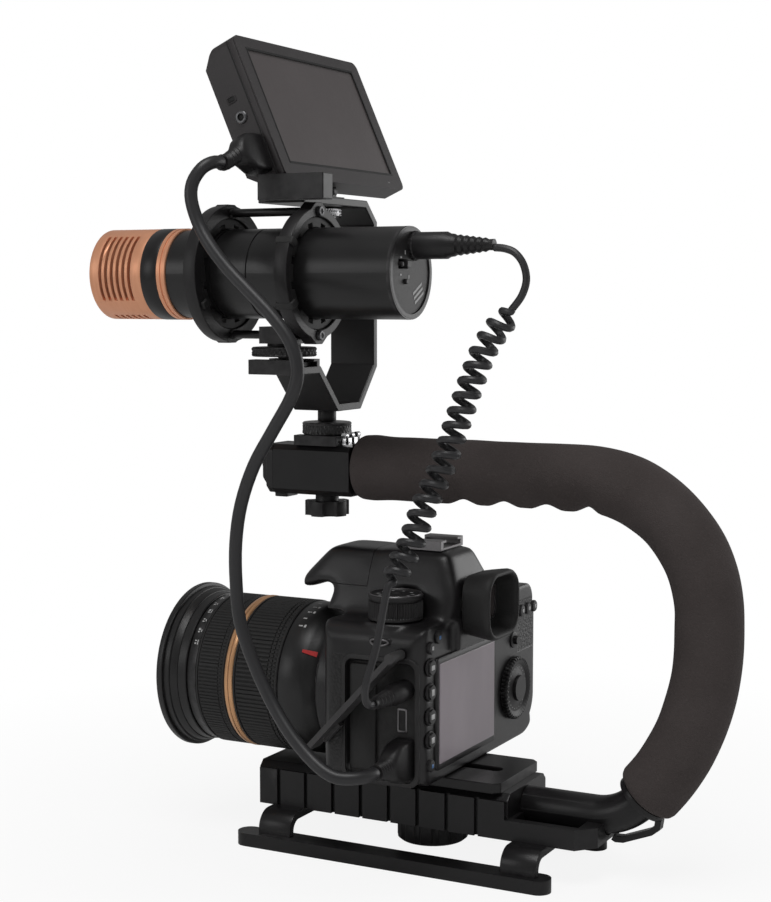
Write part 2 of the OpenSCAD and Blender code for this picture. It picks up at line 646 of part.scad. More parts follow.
module body_front_view() {
    round_rect(-body_right, body_left, cam_z, shoulder_z, 9);
    round_rect(-body_right + 4, -body_right + 40, cam_z + 20, shoulder_z + 4, 10);
}
module body_plan() {
    round_rect(-body_right, body_left, body_y0, body_y1, 7);
    round_rect(-body_right, -body_right + 36, grip_y0 + 36, body_y1, 7);
}
module camera_body() rig() color("#1b1a1c") difference() {
    union() {
        intersection() {
            along_y(body_y0 - 40, body_y1 + 10) body_front_view();
            translate([0, 0, cam_z - 1]) linear_extrude(body_h + 20) body_plan();
        }
        rod_y(0, body_y0 + 1, 0, lens_z, flange_r + 2);
        block(-19, 19, body_y1 - 3, prism_y1, shoulder_z - 15, shoulder_z);
        block(-50, -28, 2, body_y0 + 1, cam_z + 8, shoulder_z - 10);
        rod_z(shoulder_z - 4, shoulder_z + 0.8, dial_x, dial_y, mode_r + 1);
    }
    // throat and mirror chamber
    rod_y(-1, 20, 0, lens_z, 22);
    block(-20, 20, 15, 55, lens_z - 18, lens_z + 18);
    // tripod socket under the lens axis
    rod_z(cam_z - 1, cam_z + 9, 0, knob_y, cam_screw_r + run_gap);
    // seat of the display window
    block(lcd_x0 - 0.2, lcd_x0 + lcd_w + 0.2, body_y1 - 0.6, body_y1 + 1, lcd_z0 - 0.2, lcd_z0 + lcd_h + 0.2);
    // port bay on the left end, with the audio jack
    block(body_left - 3, body_left + 1, 26, body_y1 - 4, cam_z + 3, cam_z + 58);
    rod_x(body_left - 6, body_left + 1, flap_top.x, flap_top.y, 1.6 + run_gap);
    rod_x(body_left - 20, body_left + 1, port_y, audio_z, pin_r + run_gap);
    block(body_left - 16, body_left + 1, port_y - 2.6, port_y + 2.6, hdmi_z - 7.4, hdmi_z + 7.4);
    // shaft holes of the dials and wells of the buttons
    rod_z(shoulder_z - 8, shoulder_z + 9, dial_x, dial_y, 4 + run_gap);
    rod_y(body_y1 - 9, body_y1 + 1, rear_dial_x, rear_dial_z, 8 + run_gap);
    for (z = button_z) rod_y(body_y1 - 4, body_y1 + 1, button_x, z, button_r + run_gap);
    rod_x(shutter_x - 6, shutter_x + 6, main_dial_y, main_dial_z, 8.4);
    rod_x(shutter_x - 11, shutter_x + 11, main_dial_y, main_dial_z, 2 + run_gap);
}
module hand_grip() rig() color("#201f20") difference() {
    x0 = -body_right;
    translate([0, 0, cam_z + 1]) linear_extrude(grip_top - cam_z - 1) difference() {
        round_rect(x0, x0 + 36, grip_y0, grip_y0 + 40, 13);
        round_rect(x0 - 1, -34, body_y0 - 0.2, body_y0 + 40, 0.1);
    }
    rod_z(grip_top - 6, grip_top + 1, shutter_x, shutter_y, 5 + run_gap);
    rod_x(shutter_x - 6, shutter_x + 6, main_dial_y, main_dial_z, 8.4);
}
module prism_cover() rig() color("#19181a") difference() {
    union() {
        hull() {
            block(-26, 26, 0, prism_y1 - 1, shoulder_z, shoulder_z + 1);
            block(-22, 22, 4, prism_y1 - 0.5, shoulder_z + 12, shoulder_z + 13);
        }
        hull() {
            block(-22, 22, flash_y1 + 0.5, prism_y1 - 0.5, shoulder_z + 12, shoulder_z + 13);
            block(-15, 15, flash_y1 + 3, prism_y1 - 8, prism_z1 - 1, prism_z1);
        }
    }
    // hollow for the prism behind the eyepiece
    block(-14, 14, 20, prism_y1 - 6, shoulder_z - 1, shoulder_z + 11);
    block(-11, 11, prism_y1 - 7, prism_y1 + 1, shoulder_z + 1, shoulder_z + 10);
    rod_z(shoulder_z - 1, shoulder_z + dial_h + 2, dial_x, dial_y, mode_r + 1 + gap);
}
module popup_flash() rig() color("#1a191b") {
    z0 = shoulder_z + 13 + gap;
    hull() {
        block(-21, 21, -6, flash_y1, z0, z0 + 1);
        block(-15, 15, -2, flash_y1, prism_z1 - 3.5, prism_z1 - 0.5);
    }
    hull() {
        block(-18, 18, -17.5, -16, shoulder_z + 8, shoulder_z + 14);
        block(-21, 21, -6, -0.6, z0, z0 + 1);
        block(-15, 15, -2, -0.6, prism_z1 - 3.5, prism_z1 - 0.5);
    }
}
module hot_shoe() rig() color("#b9b9bd") {
    translate([0, 48, prism_z1]) {
        difference() {
            block(-12.4, 12.4, -9, 9, 0, 1.2 + shoe_h);
            block(-shoe_slot_w / 2, shoe_slot_w / 2, -8, 12, 1.2, 1.2 + shoe_slot_h);
            block(-6.3, 6.3, -12, 12, 1.2, 8);
        }
    }
}
module eyecup() rig() color("#121212") difference() {
    zc = shoulder_z + 6;
    along_y(prism_y1, eyecup_y1) round_rect(-18.5, 18.5, zc - 16.5, zc + 16, 7);
    along_y(prism_y1 - 1, eyecup_y1 + 1) round_rect(-12.5, 12.5, zc - 9, zc + 9, 4);
    along_y(eyecup_y1 - 8, eyecup_y1 + 1) round_rect(-15.5, 15.5, zc - 13, zc + 12.5, 5);
}
module lcd_window() rig() color("#8c8088")
    block(lcd_x0, lcd_x0 + lcd_w, body_y1 - 0.5, body_y1 - 0.5 + lcd_t, lcd_z0, lcd_z0 + lcd_h);
module image_sensor() rig() color("#3c6e5a") {
    block(-18, 18, 51, 55, lens_z - 12, lens_z + 12);
    block(-19.9, 19.9, 53, 55, lens_z - 17.9, lens_z + 17.9);
}
// Open rubber door of the port bay, hanging from its upper end
module port_flap() rig() color("#232224") translate([body_left + gap, flap_top.x, flap_top.y])
    rotate([90 - flap_a, 0, 0]) {
        block(0, 12, -flap_l, 0, -1.3, 1.3);
        block(1, 5, -flap_l + 6, -flap_l + 18, -3, -1.29);
        rod_x(0, 12, 0, 0, 2.4);
        rod_x(-5, 0.01, 0, 0, 1.6);
    }

module mode_dial() rig() color("#2d2c2e") {
    z0 = shoulder_z + 0.8 + gap;
    translate([dial_x, dial_y, 0]) {
        translate([0, 0, z0]) rotate_extrude() polygon([[0, 0], [mode_r, 0], [mode_r, dial_h - 0.6],
            [mode_r - 0.6, dial_h], [mode_r - 1.6, dial_h], [mode_r - 2, dial_h - 0.9], [0, dial_h - 0.9]]);
        rod_z(shoulder_z - 7.5, z0 + 0.01, 0, 0, 4);
    }
}
module main_dial() rig() color("#2a292b") {
    rod_x(shutter_x - 4, shutter_x + 4, main_dial_y, main_dial_z, 8);
    rod_x(shutter_x - 10, shutter_x + 10, main_dial_y, main_dial_z, 2);
}
module shutter_button() rig() color("#3a393b") {
    rod_z(grip_top - 4, grip_top + 2.4, shutter_x, shutter_y, 5);
}
module rear_dial() rig() color("#2a292b") difference() {
    union() {
        rod_y(body_y1 + gap, body_y1 + gap + rear_dial_t, rear_dial_x, rear_dial_z, rear_dial_r);
        rod_y(body_y1 - 8.5, body_y1 + gap + 0.01, rear_dial_x, rear_dial_z, 8);
    }
    rod_y(body_y1 - 2, body_y1 + 9, rear_dial_x, rear_dial_z, 6.5 + run_gap);
}
module set_button() rig() color("#353436")
    rod_y(body_y1 - 0.4, body_y1 + rear_dial_t + 1.4, rear_dial_x, rear_dial_z, 6.5);
module menu_button(k) rig() color("#302f31")
    rod_y(body_y1 - 2.4, body_y1 + 1.6, button_x, button_z[k], button_r);

// ---- lens ----------------------------------------------------------------------------------

// Inner tube with the bayonet, the rear barrel and the gold band
module lens_barrel() rig() color("#1c1b1d") difference() {
    union() {
        rod_y(-76, -18, 0, lens_z, core_r);
        turned_y(0, -19, lens_z) polygon([[0, 0], [lens_r - 0.5, 0], [lens_r - 0.5, 11], [flange_r, 18.8], [0, 18.8]]);
        rod_y(-49.5, -45, 0, lens_z, lens_r - 0.2);
        rod_y(-0.21, 3, 0, lens_z, 21.9);
    }
    rod_y(-80, -8, 0, lens_z, core_in);
    rod_y(-10, 5, 0, lens_z, 16);
}
module zoom_ring() rig() color("#151515") difference() {
    rod_y(-45 + gap, -19 - gap, 0, lens_z, lens_r);
    rod_y(-50, -10, 0, lens_z, core_r + run_gap);
}
module focus_ring() rig() color("#151515") difference() {
    rod_y(-72, -49.5 - gap, 0, lens_z, lens_r - 0.1);
    rod_y(-80, -40, 0, lens_z, core_r + run_gap);
}
module front_rim() rig() color("#141414") difference() {
    turned_y(0, -lens_l, lens_z) polygon([[core_r, 2], [filter_r, 2], [filter_r, 0], [rim_r, 0], [rim_r, 6],
        [lens_r - 0.6, lens_l - 72 - gap - 1], [lens_r - 0.6, lens_l - 72 - gap], [core_r, lens_l - 72 - gap]]);
    rod_y(-lens_l - 1, -lens_l + filter_depth, 0, lens_z, filter_r);
    rod_y(-80, -60, 0, lens_z, core_r + 0.02);
}
module lens_glass() rig() color("#39424f") {
    rod_y(-74, -68, 0, lens_z, core_in - 0.1);
    // the front element's bulge, a slice of a ball that stops short of the filter's seat
    intersection() {
        translate([0, filter_depth - lens_l + 2 + glass_r, lens_z]) sphere(r = glass_r);
        rod_y(-lens_l, -73.9, 0, lens_z, core_in - 2.5);
    }
    rod_y(-6, -3, 0, lens_z, 15.9);
}

// ---- monitor -------------------------------------------------------------------------------

module monitor_hinge() rig() color("#1e1e1f") {
    out = lug_w / 2 + gap + ear_w;
    translate([hinge_x, 0, 0]) {
        block(-out, out, pivot_y - 7, pivot_y + 7, top_flat_top, top_flat_top + hinge_plate_t);
        for (s = [-1, 1]) translate([s * (out - ear_w / 2), 0, 0]) {
            rod_x(-ear_w / 2, ear_w / 2, pivot_y, pivot_z, lug_r + 0.4);
            block(-ear_w / 2, ear_w / 2, pivot_y - 2.5, pivot_y + 2.5, top_flat_top + 1, pivot_z);
        }
        rod_x(-out, out, pivot_y, pivot_z, hinge_pin_r);
        rod_z(top_flat_z - strip_t / 2 - gap - mon_wheel_h, top_flat_top + 0.1, 0, pivot_y, stud_r);
    }
}
module monitor_wheel() rig() color("#b8b8bc")
    translate([hinge_x, pivot_y, top_flat_z - strip_t / 2 - gap - mon_wheel_h])
        lock_wheel(mon_wheel_r, mon_wheel_h, stud_r + run_gap);
module monitor_case() rig() color("#2b292b") on_monitor() difference() {
    along = [[mon_front, mon_bottom], [mon_front, mon_bottom + mon_h], [mon_front - 13, mon_bottom + mon_h],
        [mon_front - mon_t, mon_bottom + mon_h - 9], [mon_front - mon_t, mon_bottom + 9],
        [mon_front - 11, mon_bottom]];
    ear_x = lug_w / 2 + gap + ear_w / 2;
    union() {
        translate([mon_x - mon_w / 2, 0, 0]) upright() linear_extrude(mon_w) polygon(along);
        rod_x(hinge_x - lug_w / 2, hinge_x + lug_w / 2, 0, 0, lug_r);
        block(hinge_x - lug_w / 2, hinge_x + lug_w / 2, -2, 2, 0, mon_bottom + 1);
    }
    // window for the screen and the hollow behind it
    translate([mon_x, 0, mon_bottom + mon_h / 2 + 1]) {
        block(-screen_w / 2, screen_w / 2, mon_front - 1.6, mon_front + 1, -screen_h / 2, screen_h / 2);
        block(-screen_w / 2 + 3, screen_w / 2 - 3, mon_front - mon_t + 3, mon_front, 4 - screen_h / 2,
            screen_h / 2 - 4);
    }
    // pockets round the hinge's ears, either side of the knuckle
    for (s = [-1, 1]) translate([hinge_x + s * ear_x, 0, 0])
        rod_x(-ear_w / 2 - gap, ear_w / 2 + gap, 0, 0, lug_r + 0.4 + gap);
    rod_x(hinge_x - lug_w, hinge_x + lug_w, 0, 0, hinge_pin_r + run_gap);
}
module monitor_screen() rig() color("#545052") on_monitor()
    translate([mon_x, 0, mon_bottom + mon_h / 2 + 1])
        block(0.1 - screen_w / 2, screen_w / 2 - 0.1, mon_front - 1.5, mon_front - 0.6, 0.1 - screen_h / 2, screen_h / 2 - 0.1);

// ---- cords ---------------------------------------------------------------------------------

module hdmi_cable() rig() color("#2f2f31") swept_tube(hdmi_path, hdmi_d, 10);
module hdmi_plug_monitor() rig() color("#2a2a2c") on_monitor() translate([0, plug_n, plug_u]) {
    left = mon_x + mon_w / 2;
    block(left, left + 19, -5, 5, -plug_w / 2, plug_w / 2);
    rod_x(left + 18.9, plug_end_x, 0, 0, 4.2);
}
module hdmi_plug_camera() rig() color("#2a2a2c") {
    block(body_left - 14, body_left - 2.9, port_y - 2.2, port_y + 2.2, hdmi_z - 7, hdmi_z + 7);
    block(body_left - 2.9, body_left + 16, port_y - 5, port_y + 5, hdmi_z - 10, hdmi_z + 10);
    rod_x(body_left + 15.9, port_plug_end_x, port_y, hdmi_z, 4.2);
}
module curly_coil() rig() color("#1b1b1c") swept_tube(coil_path, coil_d, 12);
module audio_lead() rig() color("#1b1b1c") {
    swept_tube(lead_top_path, lead_d, 8);
    swept_tube(lead_low_path, lead_d, 8);
}
module audio_plugs() rig() color("#232324") {
    rod_y(mic_y1 - 0.6, mic_y1 + 27, jack_x, jack_z, 6);
    rod_y(mic_y1 + 26.9, mic_plug_y, jack_x, jack_z - 0.8, 3.6);
    rod_y(mic_y1 - pin_l, mic_y1, jack_x, jack_z, pin_r);
    rod_x(body_left - 2.9, body_left + 14, port_y, audio_z, 4.6);
    rod_x(body_left + 13.9, audio_plug_end_x, port_y, audio_z, 3.2);
    rod_x(body_left - pin_l - 3, body_left, port_y, audio_z, pin_r);
}

base_body();
foot_bars();
foot_straps();
base_screws();
camera_plate();
handle_tube();
foam_grip();
strap_loop();
head_block();
head_cap();
head_shoe();
shoe_spring();
head_knob();
camera_knob();
camera_screw();
bracket();
bracket_foot();
bracket_wheel();
shock_rings();
shock_rods();
shock_pads();
shock_foot();
mic_wheel();
mic_body();
mic_grille();
mic_rear_cap();
mic_switch();
camera_body();
prism_cover();
popup_flash();
hot_shoe();
eyecup();
lcd_window();
hand_grip();
port_flap();
image_sensor();
mode_dial();
main_dial();
shutter_button();
rear_dial();
set_button();
menu_button(0);  // menu_button_1
menu_button(1);  // menu_button_2
menu_button(2);  // menu_button_3
menu_button(3);  // menu_button_4
lens_barrel();
zoom_ring();
focus_ring();
front_rim();
lens_glass();
monitor_hinge();
monitor_wheel();
monitor_case();
monitor_screen();
hdmi_cable();
hdmi_plug_monitor();
hdmi_plug_camera();
curly_coil();
audio_lead();
audio_plugs();
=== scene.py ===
# %% [markdown]
# # A hand-held camera rig
#
# This notebook dresses a rig that is already designed: a C-shaped grip on a ribbed base, a reflex
# camera, and a bent bracket with a microphone and a monitor. The machined pieces keep the shape
# that the design gives them. Blender adds what a designer leaves out: soft foam with finger dents,
# a curly cord, ribbed rubber, knurled wheels, rounded mouldings and every finish.

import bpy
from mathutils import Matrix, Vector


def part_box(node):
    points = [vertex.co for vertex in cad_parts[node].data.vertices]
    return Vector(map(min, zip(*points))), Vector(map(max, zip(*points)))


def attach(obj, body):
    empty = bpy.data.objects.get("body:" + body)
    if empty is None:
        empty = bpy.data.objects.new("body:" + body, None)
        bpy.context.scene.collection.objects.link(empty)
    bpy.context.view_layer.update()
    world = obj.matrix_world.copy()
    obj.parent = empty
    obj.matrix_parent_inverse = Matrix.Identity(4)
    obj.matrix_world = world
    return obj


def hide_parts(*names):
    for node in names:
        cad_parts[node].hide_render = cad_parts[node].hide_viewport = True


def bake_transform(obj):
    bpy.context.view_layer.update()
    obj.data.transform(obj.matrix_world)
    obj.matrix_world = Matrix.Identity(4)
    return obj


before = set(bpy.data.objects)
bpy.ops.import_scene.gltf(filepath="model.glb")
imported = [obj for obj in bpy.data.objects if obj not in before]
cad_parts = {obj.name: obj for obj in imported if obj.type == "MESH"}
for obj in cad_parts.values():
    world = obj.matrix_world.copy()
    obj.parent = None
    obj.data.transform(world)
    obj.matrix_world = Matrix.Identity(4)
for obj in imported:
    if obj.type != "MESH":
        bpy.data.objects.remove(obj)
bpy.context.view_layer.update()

# %% [markdown]
# ## Where things are
#
# The rig was drawn from the lens outwards: x = 0 and y = 0 lie on the lens axis at the flange.
# The frame's origin is under the middle of the whole outline instead. Reading the lens barrel's box
# gives the step between the two, so a place can be written in the rig's own axes, in metres.

# %% The rig's own axes
import math
import bpy
import bmesh
from mathutils import Matrix, Vector
from mathutils.noise import noise as solid_noise

bayonet_reach = 0.003
barrel_low, barrel_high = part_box("lens_barrel")
rig_origin = Vector(((barrel_low.x + barrel_high.x) / 2, barrel_high.y - bayonet_reach, 0))
lens_z = (barrel_low.z + barrel_high.z) / 2


def at(x, y, z):
    """A point given in the rig's own axes, in the frame's."""
    return rig_origin + Vector((x, y, z))


print("rig origin", [round(v, 5) for v in rig_origin], "lens height", round(lens_z, 4))

# %% [markdown]
# ## Camera
#
# A product shot like this is taken from behind the rig and to its left, a little above the table,
# with a lens about twice as long as normal so that the grip doesn't look stretched. The elevation
# is small, so the upright of the grip stays upright.

# %% Place the camera
view_azimuth = math.radians(117.6)
view_elevation = math.radians(5.13)
camera_data = bpy.data.cameras.new("product_camera")
camera_data.lens = 70.24
camera_data.sensor_width = 36
camera_data.clip_start = 0.01
camera = bpy.data.objects.new("product_camera", camera_data)
camera.location = at(0.7594, 0.4178, 0.2713)
camera.rotation_euler = (math.pi / 2 - view_elevation, 0, view_azimuth)
bpy.context.scene.collection.objects.link(camera)
bpy.context.scene.camera = camera
print("camera at", [round(v, 3) for v in camera.location])

# %% [markdown]
# ## Shader maths as expressions
#
# A finish is a handful of small sums: a noise times a strength, a mask taken away from one. Typed
# as nodes they are hard to read, so one class wraps a socket and makes Python's operators add the
# Math nodes. Numbers that meet numbers are worked out in Python and never become nodes. Colours
# go through Mix nodes, since a Math node would turn them grey.


# %% A socket that does sums
class Field:
    """A value that varies over a surface."""

    def __init__(self, finish, socket):
        self.finish, self.socket = finish, socket

    def math(self, operation, *others):
        settings = {"operation": operation}
        return self.finish.node("ShaderNodeMath", settings, dict(enumerate((self, *others))))

    def __add__(self, other):
        return self.math("ADD", other)

    def __mul__(self, other):
        return self.math("MULTIPLY", other)

    def __sub__(self, other):
        return self.math("SUBTRACT", other)

    def __rsub__(self, other):
        return (self * -1) + other

    __radd__, __rmul__ = __add__, __mul__

    def above(self, edge, soft):
        """0 below edge, 1 above edge + soft."""
        span = {"From Min": edge, "From Max": edge + soft}
        return self.finish.node("ShaderNodeMapRange", {}, {"Value": self, **span})

    def most(self, other):
        return self.math("MAXIMUM", other)

    def least(self, other):
        return self.math("MINIMUM", other)


# %% [markdown]
# ## A finish
#
# Every finish starts from Blender's Principled shader. What is the same all over is set on the
# shader's own sockets. What varies is fed in: colour, roughness and the bump under the normal.
# Noise reads object coordinates, which are metres here, so a grain of 0.4 mm is a scale of 2500
# wherever the piece lies, and no unwrapping is needed.


# %% The finish class
class Finish:
    """One material: a Principled shader and the fields that vary over it."""

    def __init__(self, name, roughness=0.5, metallic=0.0, **fixed):
        self.material = bpy.data.materials.new(name)
        self.material.use_nodes = True
        self.tree = self.material.node_tree
        self.shader = self.tree.nodes["Principled BSDF"]
        self.shader.inputs["Roughness"].default_value = roughness
        self.shader.inputs["Metallic"].default_value = metallic
        for socket, value in fixed.items():
            self.shader.inputs[socket.replace("_", " ")].default_value = value
        self.place = self.node("ShaderNodeTexCoord", {}, {}, "Object")

    def node(self, kind, settings, values, output=0):
        """Adds any node: its settings first, then the values or links of its sockets."""
        made = self.tree.nodes.new(kind)
        for key, value in settings.items():
            setattr(made, key, value)
        for key, value in values.items():
            if isinstance(value, Field):
                self.tree.links.new(value.socket, made.inputs[key])
            else:
                made.inputs[key].default_value = value
        return Field(self, made.outputs[output])

    def feed(self, socket, field):
        self.tree.links.new(field.socket, self.shader.inputs[socket])

    def noise(self, scale, detail=3.0, stretch=(1, 1, 1)):
        """Noise of about 1 / scale metres, between 0 and 1."""
        spot = self.node("ShaderNodeMapping", {}, {"Vector": self.place, "Scale": stretch})
        return self.node("ShaderNodeTexNoise", {}, {"Vector": spot, "Scale": scale, "Detail": detail})

    def coordinate(self, axis):
        return self.node("ShaderNodeSeparateXYZ", {}, {"Vector": self.place}, axis)

    def blend(self, factor, first, second):
        """A colour between two others."""
        settings = {"data_type": "RGBA"}
        pair = {6: first, 7: second, 0: factor}
        return self.node("ShaderNodeMix", settings, pair, 2)

    def bump(self, height, depth):
        """Relief of that depth in metres, fed to the normal."""
        values = {"Height": height, "Distance": depth, "Strength": 1.0}
        self.feed("Normal", self.node("ShaderNodeBump", {}, values))


def rgba(red, green, blue):
    return (red, green, blue, 1.0)


print("finish class ready")

# %% [markdown]
# ## Black finishes
#
# Nearly everything on the rig is black, so the finishes have to differ in how they shine and in
# their grain. Cast and machined metal is anodised: a fine sparkle, broad cloudy patches where
# hands have polished it, and paler edges where the black has rubbed off. Mouldings have a coarser
# spark-eroded grain and less shine. Pointiness marks the edges, and a noise breaks the wear up.
# The knurled wheel's edges are pale all over and much brighter: partly rubbed metal, partly
# painted glints on the knurl's tips.


# %% Worn black
def worn_black(name, tone, worn_and_glint_tone, roughness, grain, depth, wear_and_glint=0.5, **fixed):
    """A dark finish with cloudy patches, a grain and rubbed edges, which on the knurled wheel are also painted
    glints.
    """
    finish = Finish(name, **fixed)
    cloud = finish.noise(38, 4)
    speck = finish.noise(grain, 2)
    edge = finish.node("ShaderNodeNewGeometry", {}, {}, "Pointiness").above(0.545, 0.07)
    # Pale edges: rubbed-off black, and on the knurled wheel also painted glints on the knurl's tips.
    rubbed_and_glint = edge * finish.noise(210, 4).above(0.35, 0.3) * wear_and_glint
    body = finish.blend(cloud.above(0.3, 0.4), rgba(*tone), rgba(*(1.2 * c + 0.002 for c in tone)))
    finish.feed("Base Color", finish.blend(rubbed_and_glint, body, rgba(*worn_and_glint_tone)))
    finish.feed("Roughness", cloud * 0.07 + speck * 0.1 + (roughness - 0.09))
    finish.bump(speck, depth)
    return finish.material


anodised = worn_black("black_anodised", (0.009, 0.0085, 0.009), (0.10, 0.095, 0.098), 0.33, 3200, 0.00003,
                      Specular_IOR_Level=0.38)
moulded = worn_black("moulded_black", (0.010, 0.0092, 0.0098), (0.06, 0.056, 0.058), 0.42, 2300, 0.00006, 0.4,
                    Specular_IOR_Level=0.42)
soft_touch = worn_black("soft_touch_black", (0.011, 0.0102, 0.0105), (0.05, 0.047, 0.048), 0.5, 1900, 0.0001,
                        0.3)
lens_black = worn_black("lens_black", (0.008, 0.0077, 0.008), (0.09, 0.088, 0.09), 0.36, 4200, 0.00003)
bezel_grey = worn_black("monitor_bezel", (0.028, 0.0245, 0.0255), (0.1, 0.094, 0.094), 0.5, 2600, 0.00006,
                        0.0)
rubber = worn_black("ring_rubber", (0.010, 0.0096, 0.0096), (0.045, 0.042, 0.042), 0.6, 1500, 0.00008, 0.35)
flap_grey = worn_black("flap_grey", (0.05, 0.048, 0.049), (0.11, 0.105, 0.106), 0.55, 1800, 0.00008, 0.3)
# The knurled wheel's pale tips are partly rubbed metal and partly painted glints.
knurl_wear_and_painted_glint = worn_black("knurl_wear_and_painted_glint", (0.012, 0.0115, 0.012), (0.34, 0.33, 0.335), 0.32, 3200, 0.00003, 1.0)
mic_black = worn_black("microphone_black", (0.008, 0.0077, 0.008), (0.09, 0.088, 0.09), 0.32, 3600,
                       0.00003, 0.0)
cord_skin = worn_black("cord_skin", (0.021, 0.0205, 0.022), (0.06, 0.06, 0.064), 0.4, 2600, 0.00003, 0.2)
screw_black = worn_black("blackened_screw", (0.05, 0.05, 0.053), (0.42, 0.42, 0.43), 0.4, 2600, 0.00003, 0.9,
                         metallic=0.7)
print("black finishes", 11)

# %% [markdown]
# ## Foam, copper, chrome and gold
#
# The sleeve is closed-cell foam: no shine at all, a warm charcoal colour and pores of a few tenths
# of a millimetre, which a Voronoi texture gives better than noise does. The copper colour is an
# anodised one, brushed round the tube, so its noise is stretched across the brush lines. Chrome
# and gold are plain metals whose roughness is broken by fine scratches.


# %% Foam
def make_foam():
    finish = Finish("closed_cell_foam", roughness=0.93, Specular_IOR_Level=0.18)
    pores = finish.node("ShaderNodeTexVoronoi", {}, {"Vector": finish.place, "Scale": 1500.0}, "Distance")
    cloud = finish.noise(30, 5)
    dust = finish.noise(900, 3).above(0.55, 0.25) * 0.35
    dark = finish.blend(cloud.above(0.3, 0.4), rgba(0.062, 0.052, 0.050), rgba(0.078, 0.066, 0.064))
    finish.feed("Base Color", finish.blend(dust, dark, rgba(0.108, 0.092, 0.089)))
    finish.bump(pores * 0.7 + finish.noise(420, 3) * 0.6, 0.00022)
    return finish.material


# %% Brushed and polished metals
def bright_metal(name, low, high, roughness, stretch, scale=900.0, metallic=1.0):
    """Metal with brush lines across the stretched axes."""
    finish = Finish(name, roughness=roughness, metallic=metallic)
    lines = finish.noise(scale, 4, stretch)
    cloud = finish.noise(45, 3)
    finish.feed("Base Color", finish.blend(lines * 0.6 + cloud * 0.4, rgba(*low), rgba(*high)))
    finish.feed("Roughness", lines * 0.14 + cloud * 0.1 + (roughness - 0.12))
    finish.bump(lines, 0.00002)
    return finish.material


foam = make_foam()
copper = bright_metal("copper_anodised", (0.76, 0.31, 0.165), (0.97, 0.51, 0.31), 0.42, (0.06, 1, 0.06),
                      900, 0.5)
gold = bright_metal("gold_band", (0.62, 0.31, 0.14), (0.88, 0.52, 0.28), 0.3, (0.05, 1, 0.05), 900, 0.6)
chrome = bright_metal("chrome", (0.50, 0.50, 0.51), (0.86, 0.86, 0.87), 0.2, (1, 1, 0.2))
worn_grey = bright_metal("rubbed_edge", (0.16, 0.155, 0.16), (0.30, 0.29, 0.295), 0.42, (1, 1, 1))
print("foam and metals ready")

# %% [markdown]
# ## Leather-look covering
#
# The camera's grip, its thumb rest and its left end wear a glued rubber sheet with a pebbled
# grain, and the rest of the shell is smooth. Both are on one moulding here, so a mask made from
# the object coordinates chooses between them. The pebbles are Voronoi cells: rounded bumps whose
# colour darkens from the middle into a fine dark line between them, which is painted shade.


# %% Camera shell finish
def inside(finish, low, high, soft=0.0008):
    """1 inside a box in the frame, 0 outside it, with soft sides."""
    mask = None
    for axis, first, last in zip("XYZ", low, high):
        spot = finish.coordinate(axis)
        slab = spot.above(first, soft).least(1 - spot.above(last, soft))
        mask = slab if mask is None else mask.least(slab)
    return mask


def make_shell():
    finish = Finish("camera_shell", Specular_IOR_Level=0.5)
    grip = inside(finish, at(-0.088, -0.03, 0.047), at(-0.052, 0.0125, 0.108))
    thumb = inside(finish, at(-0.088, 0.060, 0.088), at(-0.060, 0.072, 0.114))
    left = inside(finish, at(0.0494, 0.011, 0.046), at(0.052, 0.0252, 0.103))
    covered = grip.most(thumb).most(left)
    cells = finish.node("ShaderNodeTexVoronoi", {}, {"Vector": finish.place, "Scale": 780.0}, "Distance")
    speck = finish.noise(2300, 2)
    cloud = finish.noise(40, 4)
    edge = finish.node("ShaderNodeNewGeometry", {}, {}, "Pointiness").above(0.55, 0.07)
    plain = finish.blend(cloud.above(0.3, 0.4), rgba(0.009, 0.0084, 0.009), rgba(0.013, 0.012, 0.0128))
    # Painted shade: each pebble darkens from its middle into the groove round it.
    pebble_painted_shade = finish.blend(cells.above(0.25, 0.5), rgba(0.016, 0.0148, 0.0152), rgba(0.006, 0.0056, 0.0056))
    skin = finish.blend(covered, plain, pebble_painted_shade)
    finish.feed("Base Color", finish.blend(edge * 0.3, skin, rgba(0.07, 0.066, 0.068)))
    finish.feed("Roughness", cloud * 0.08 + speck * 0.12 + covered * 0.1 + 0.24)
    finish.bump(cells * covered * -2.6 + speck * 0.4, 0.00012)
    return finish.material


shell_skin = make_shell()
print("camera shell finish ready")

# %% [markdown]
# ## Glass, panels and marks
#
# The front element is coated glass: a clear shader with a thin cool tint. The two displays are
# switched off, so they are dark panels behind a smooth glossy pane, with a faint soft haze of
# finger grease in the roughness. Their base colour holds a painted reflection, lighter in soft
# patches: all of the small display's light grey, and part of the monitor's dark grey. Printed
# marks are white or red paint with a slightly uneven edge.


# %% Panels and paint
def glossy_panel(name, low, high, roughness, **fixed):
    finish = Finish(name, **fixed)
    # The base colour is a painted reflection of the pane, lighter in soft patches.
    reflection_patches = finish.noise(22, 4, (1, 1, 0.5))
    finish.feed("Base Color", finish.blend(reflection_patches.above(0.3, 0.4), rgba(*low), rgba(*high)))
    finish.feed("Roughness", finish.noise(160, 3).above(0.45, 0.4) * 0.1 + roughness)
    return finish.material


def paint(name, tone, roughness=0.5):
    finish = Finish(name)
    patch = finish.noise(1500, 3).above(0.3, 0.4)
    finish.feed("Base Color", finish.blend(patch, rgba(*(0.75 * c for c in tone)), rgba(*tone)))
    finish.feed("Roughness", patch * 0.1 + roughness)
    return finish.material


def make_glass():
    finish = Finish("coated_glass", roughness=0.03, Transmission_Weight=0.85, IOR=1.5, Coat_Weight=0.6)
    tint = finish.noise(60, 2).above(0.35, 0.3)
    finish.feed("Base Color", finish.blend(tint, rgba(0.42, 0.5, 0.62), rgba(0.52, 0.5, 0.66)))
    return finish.material


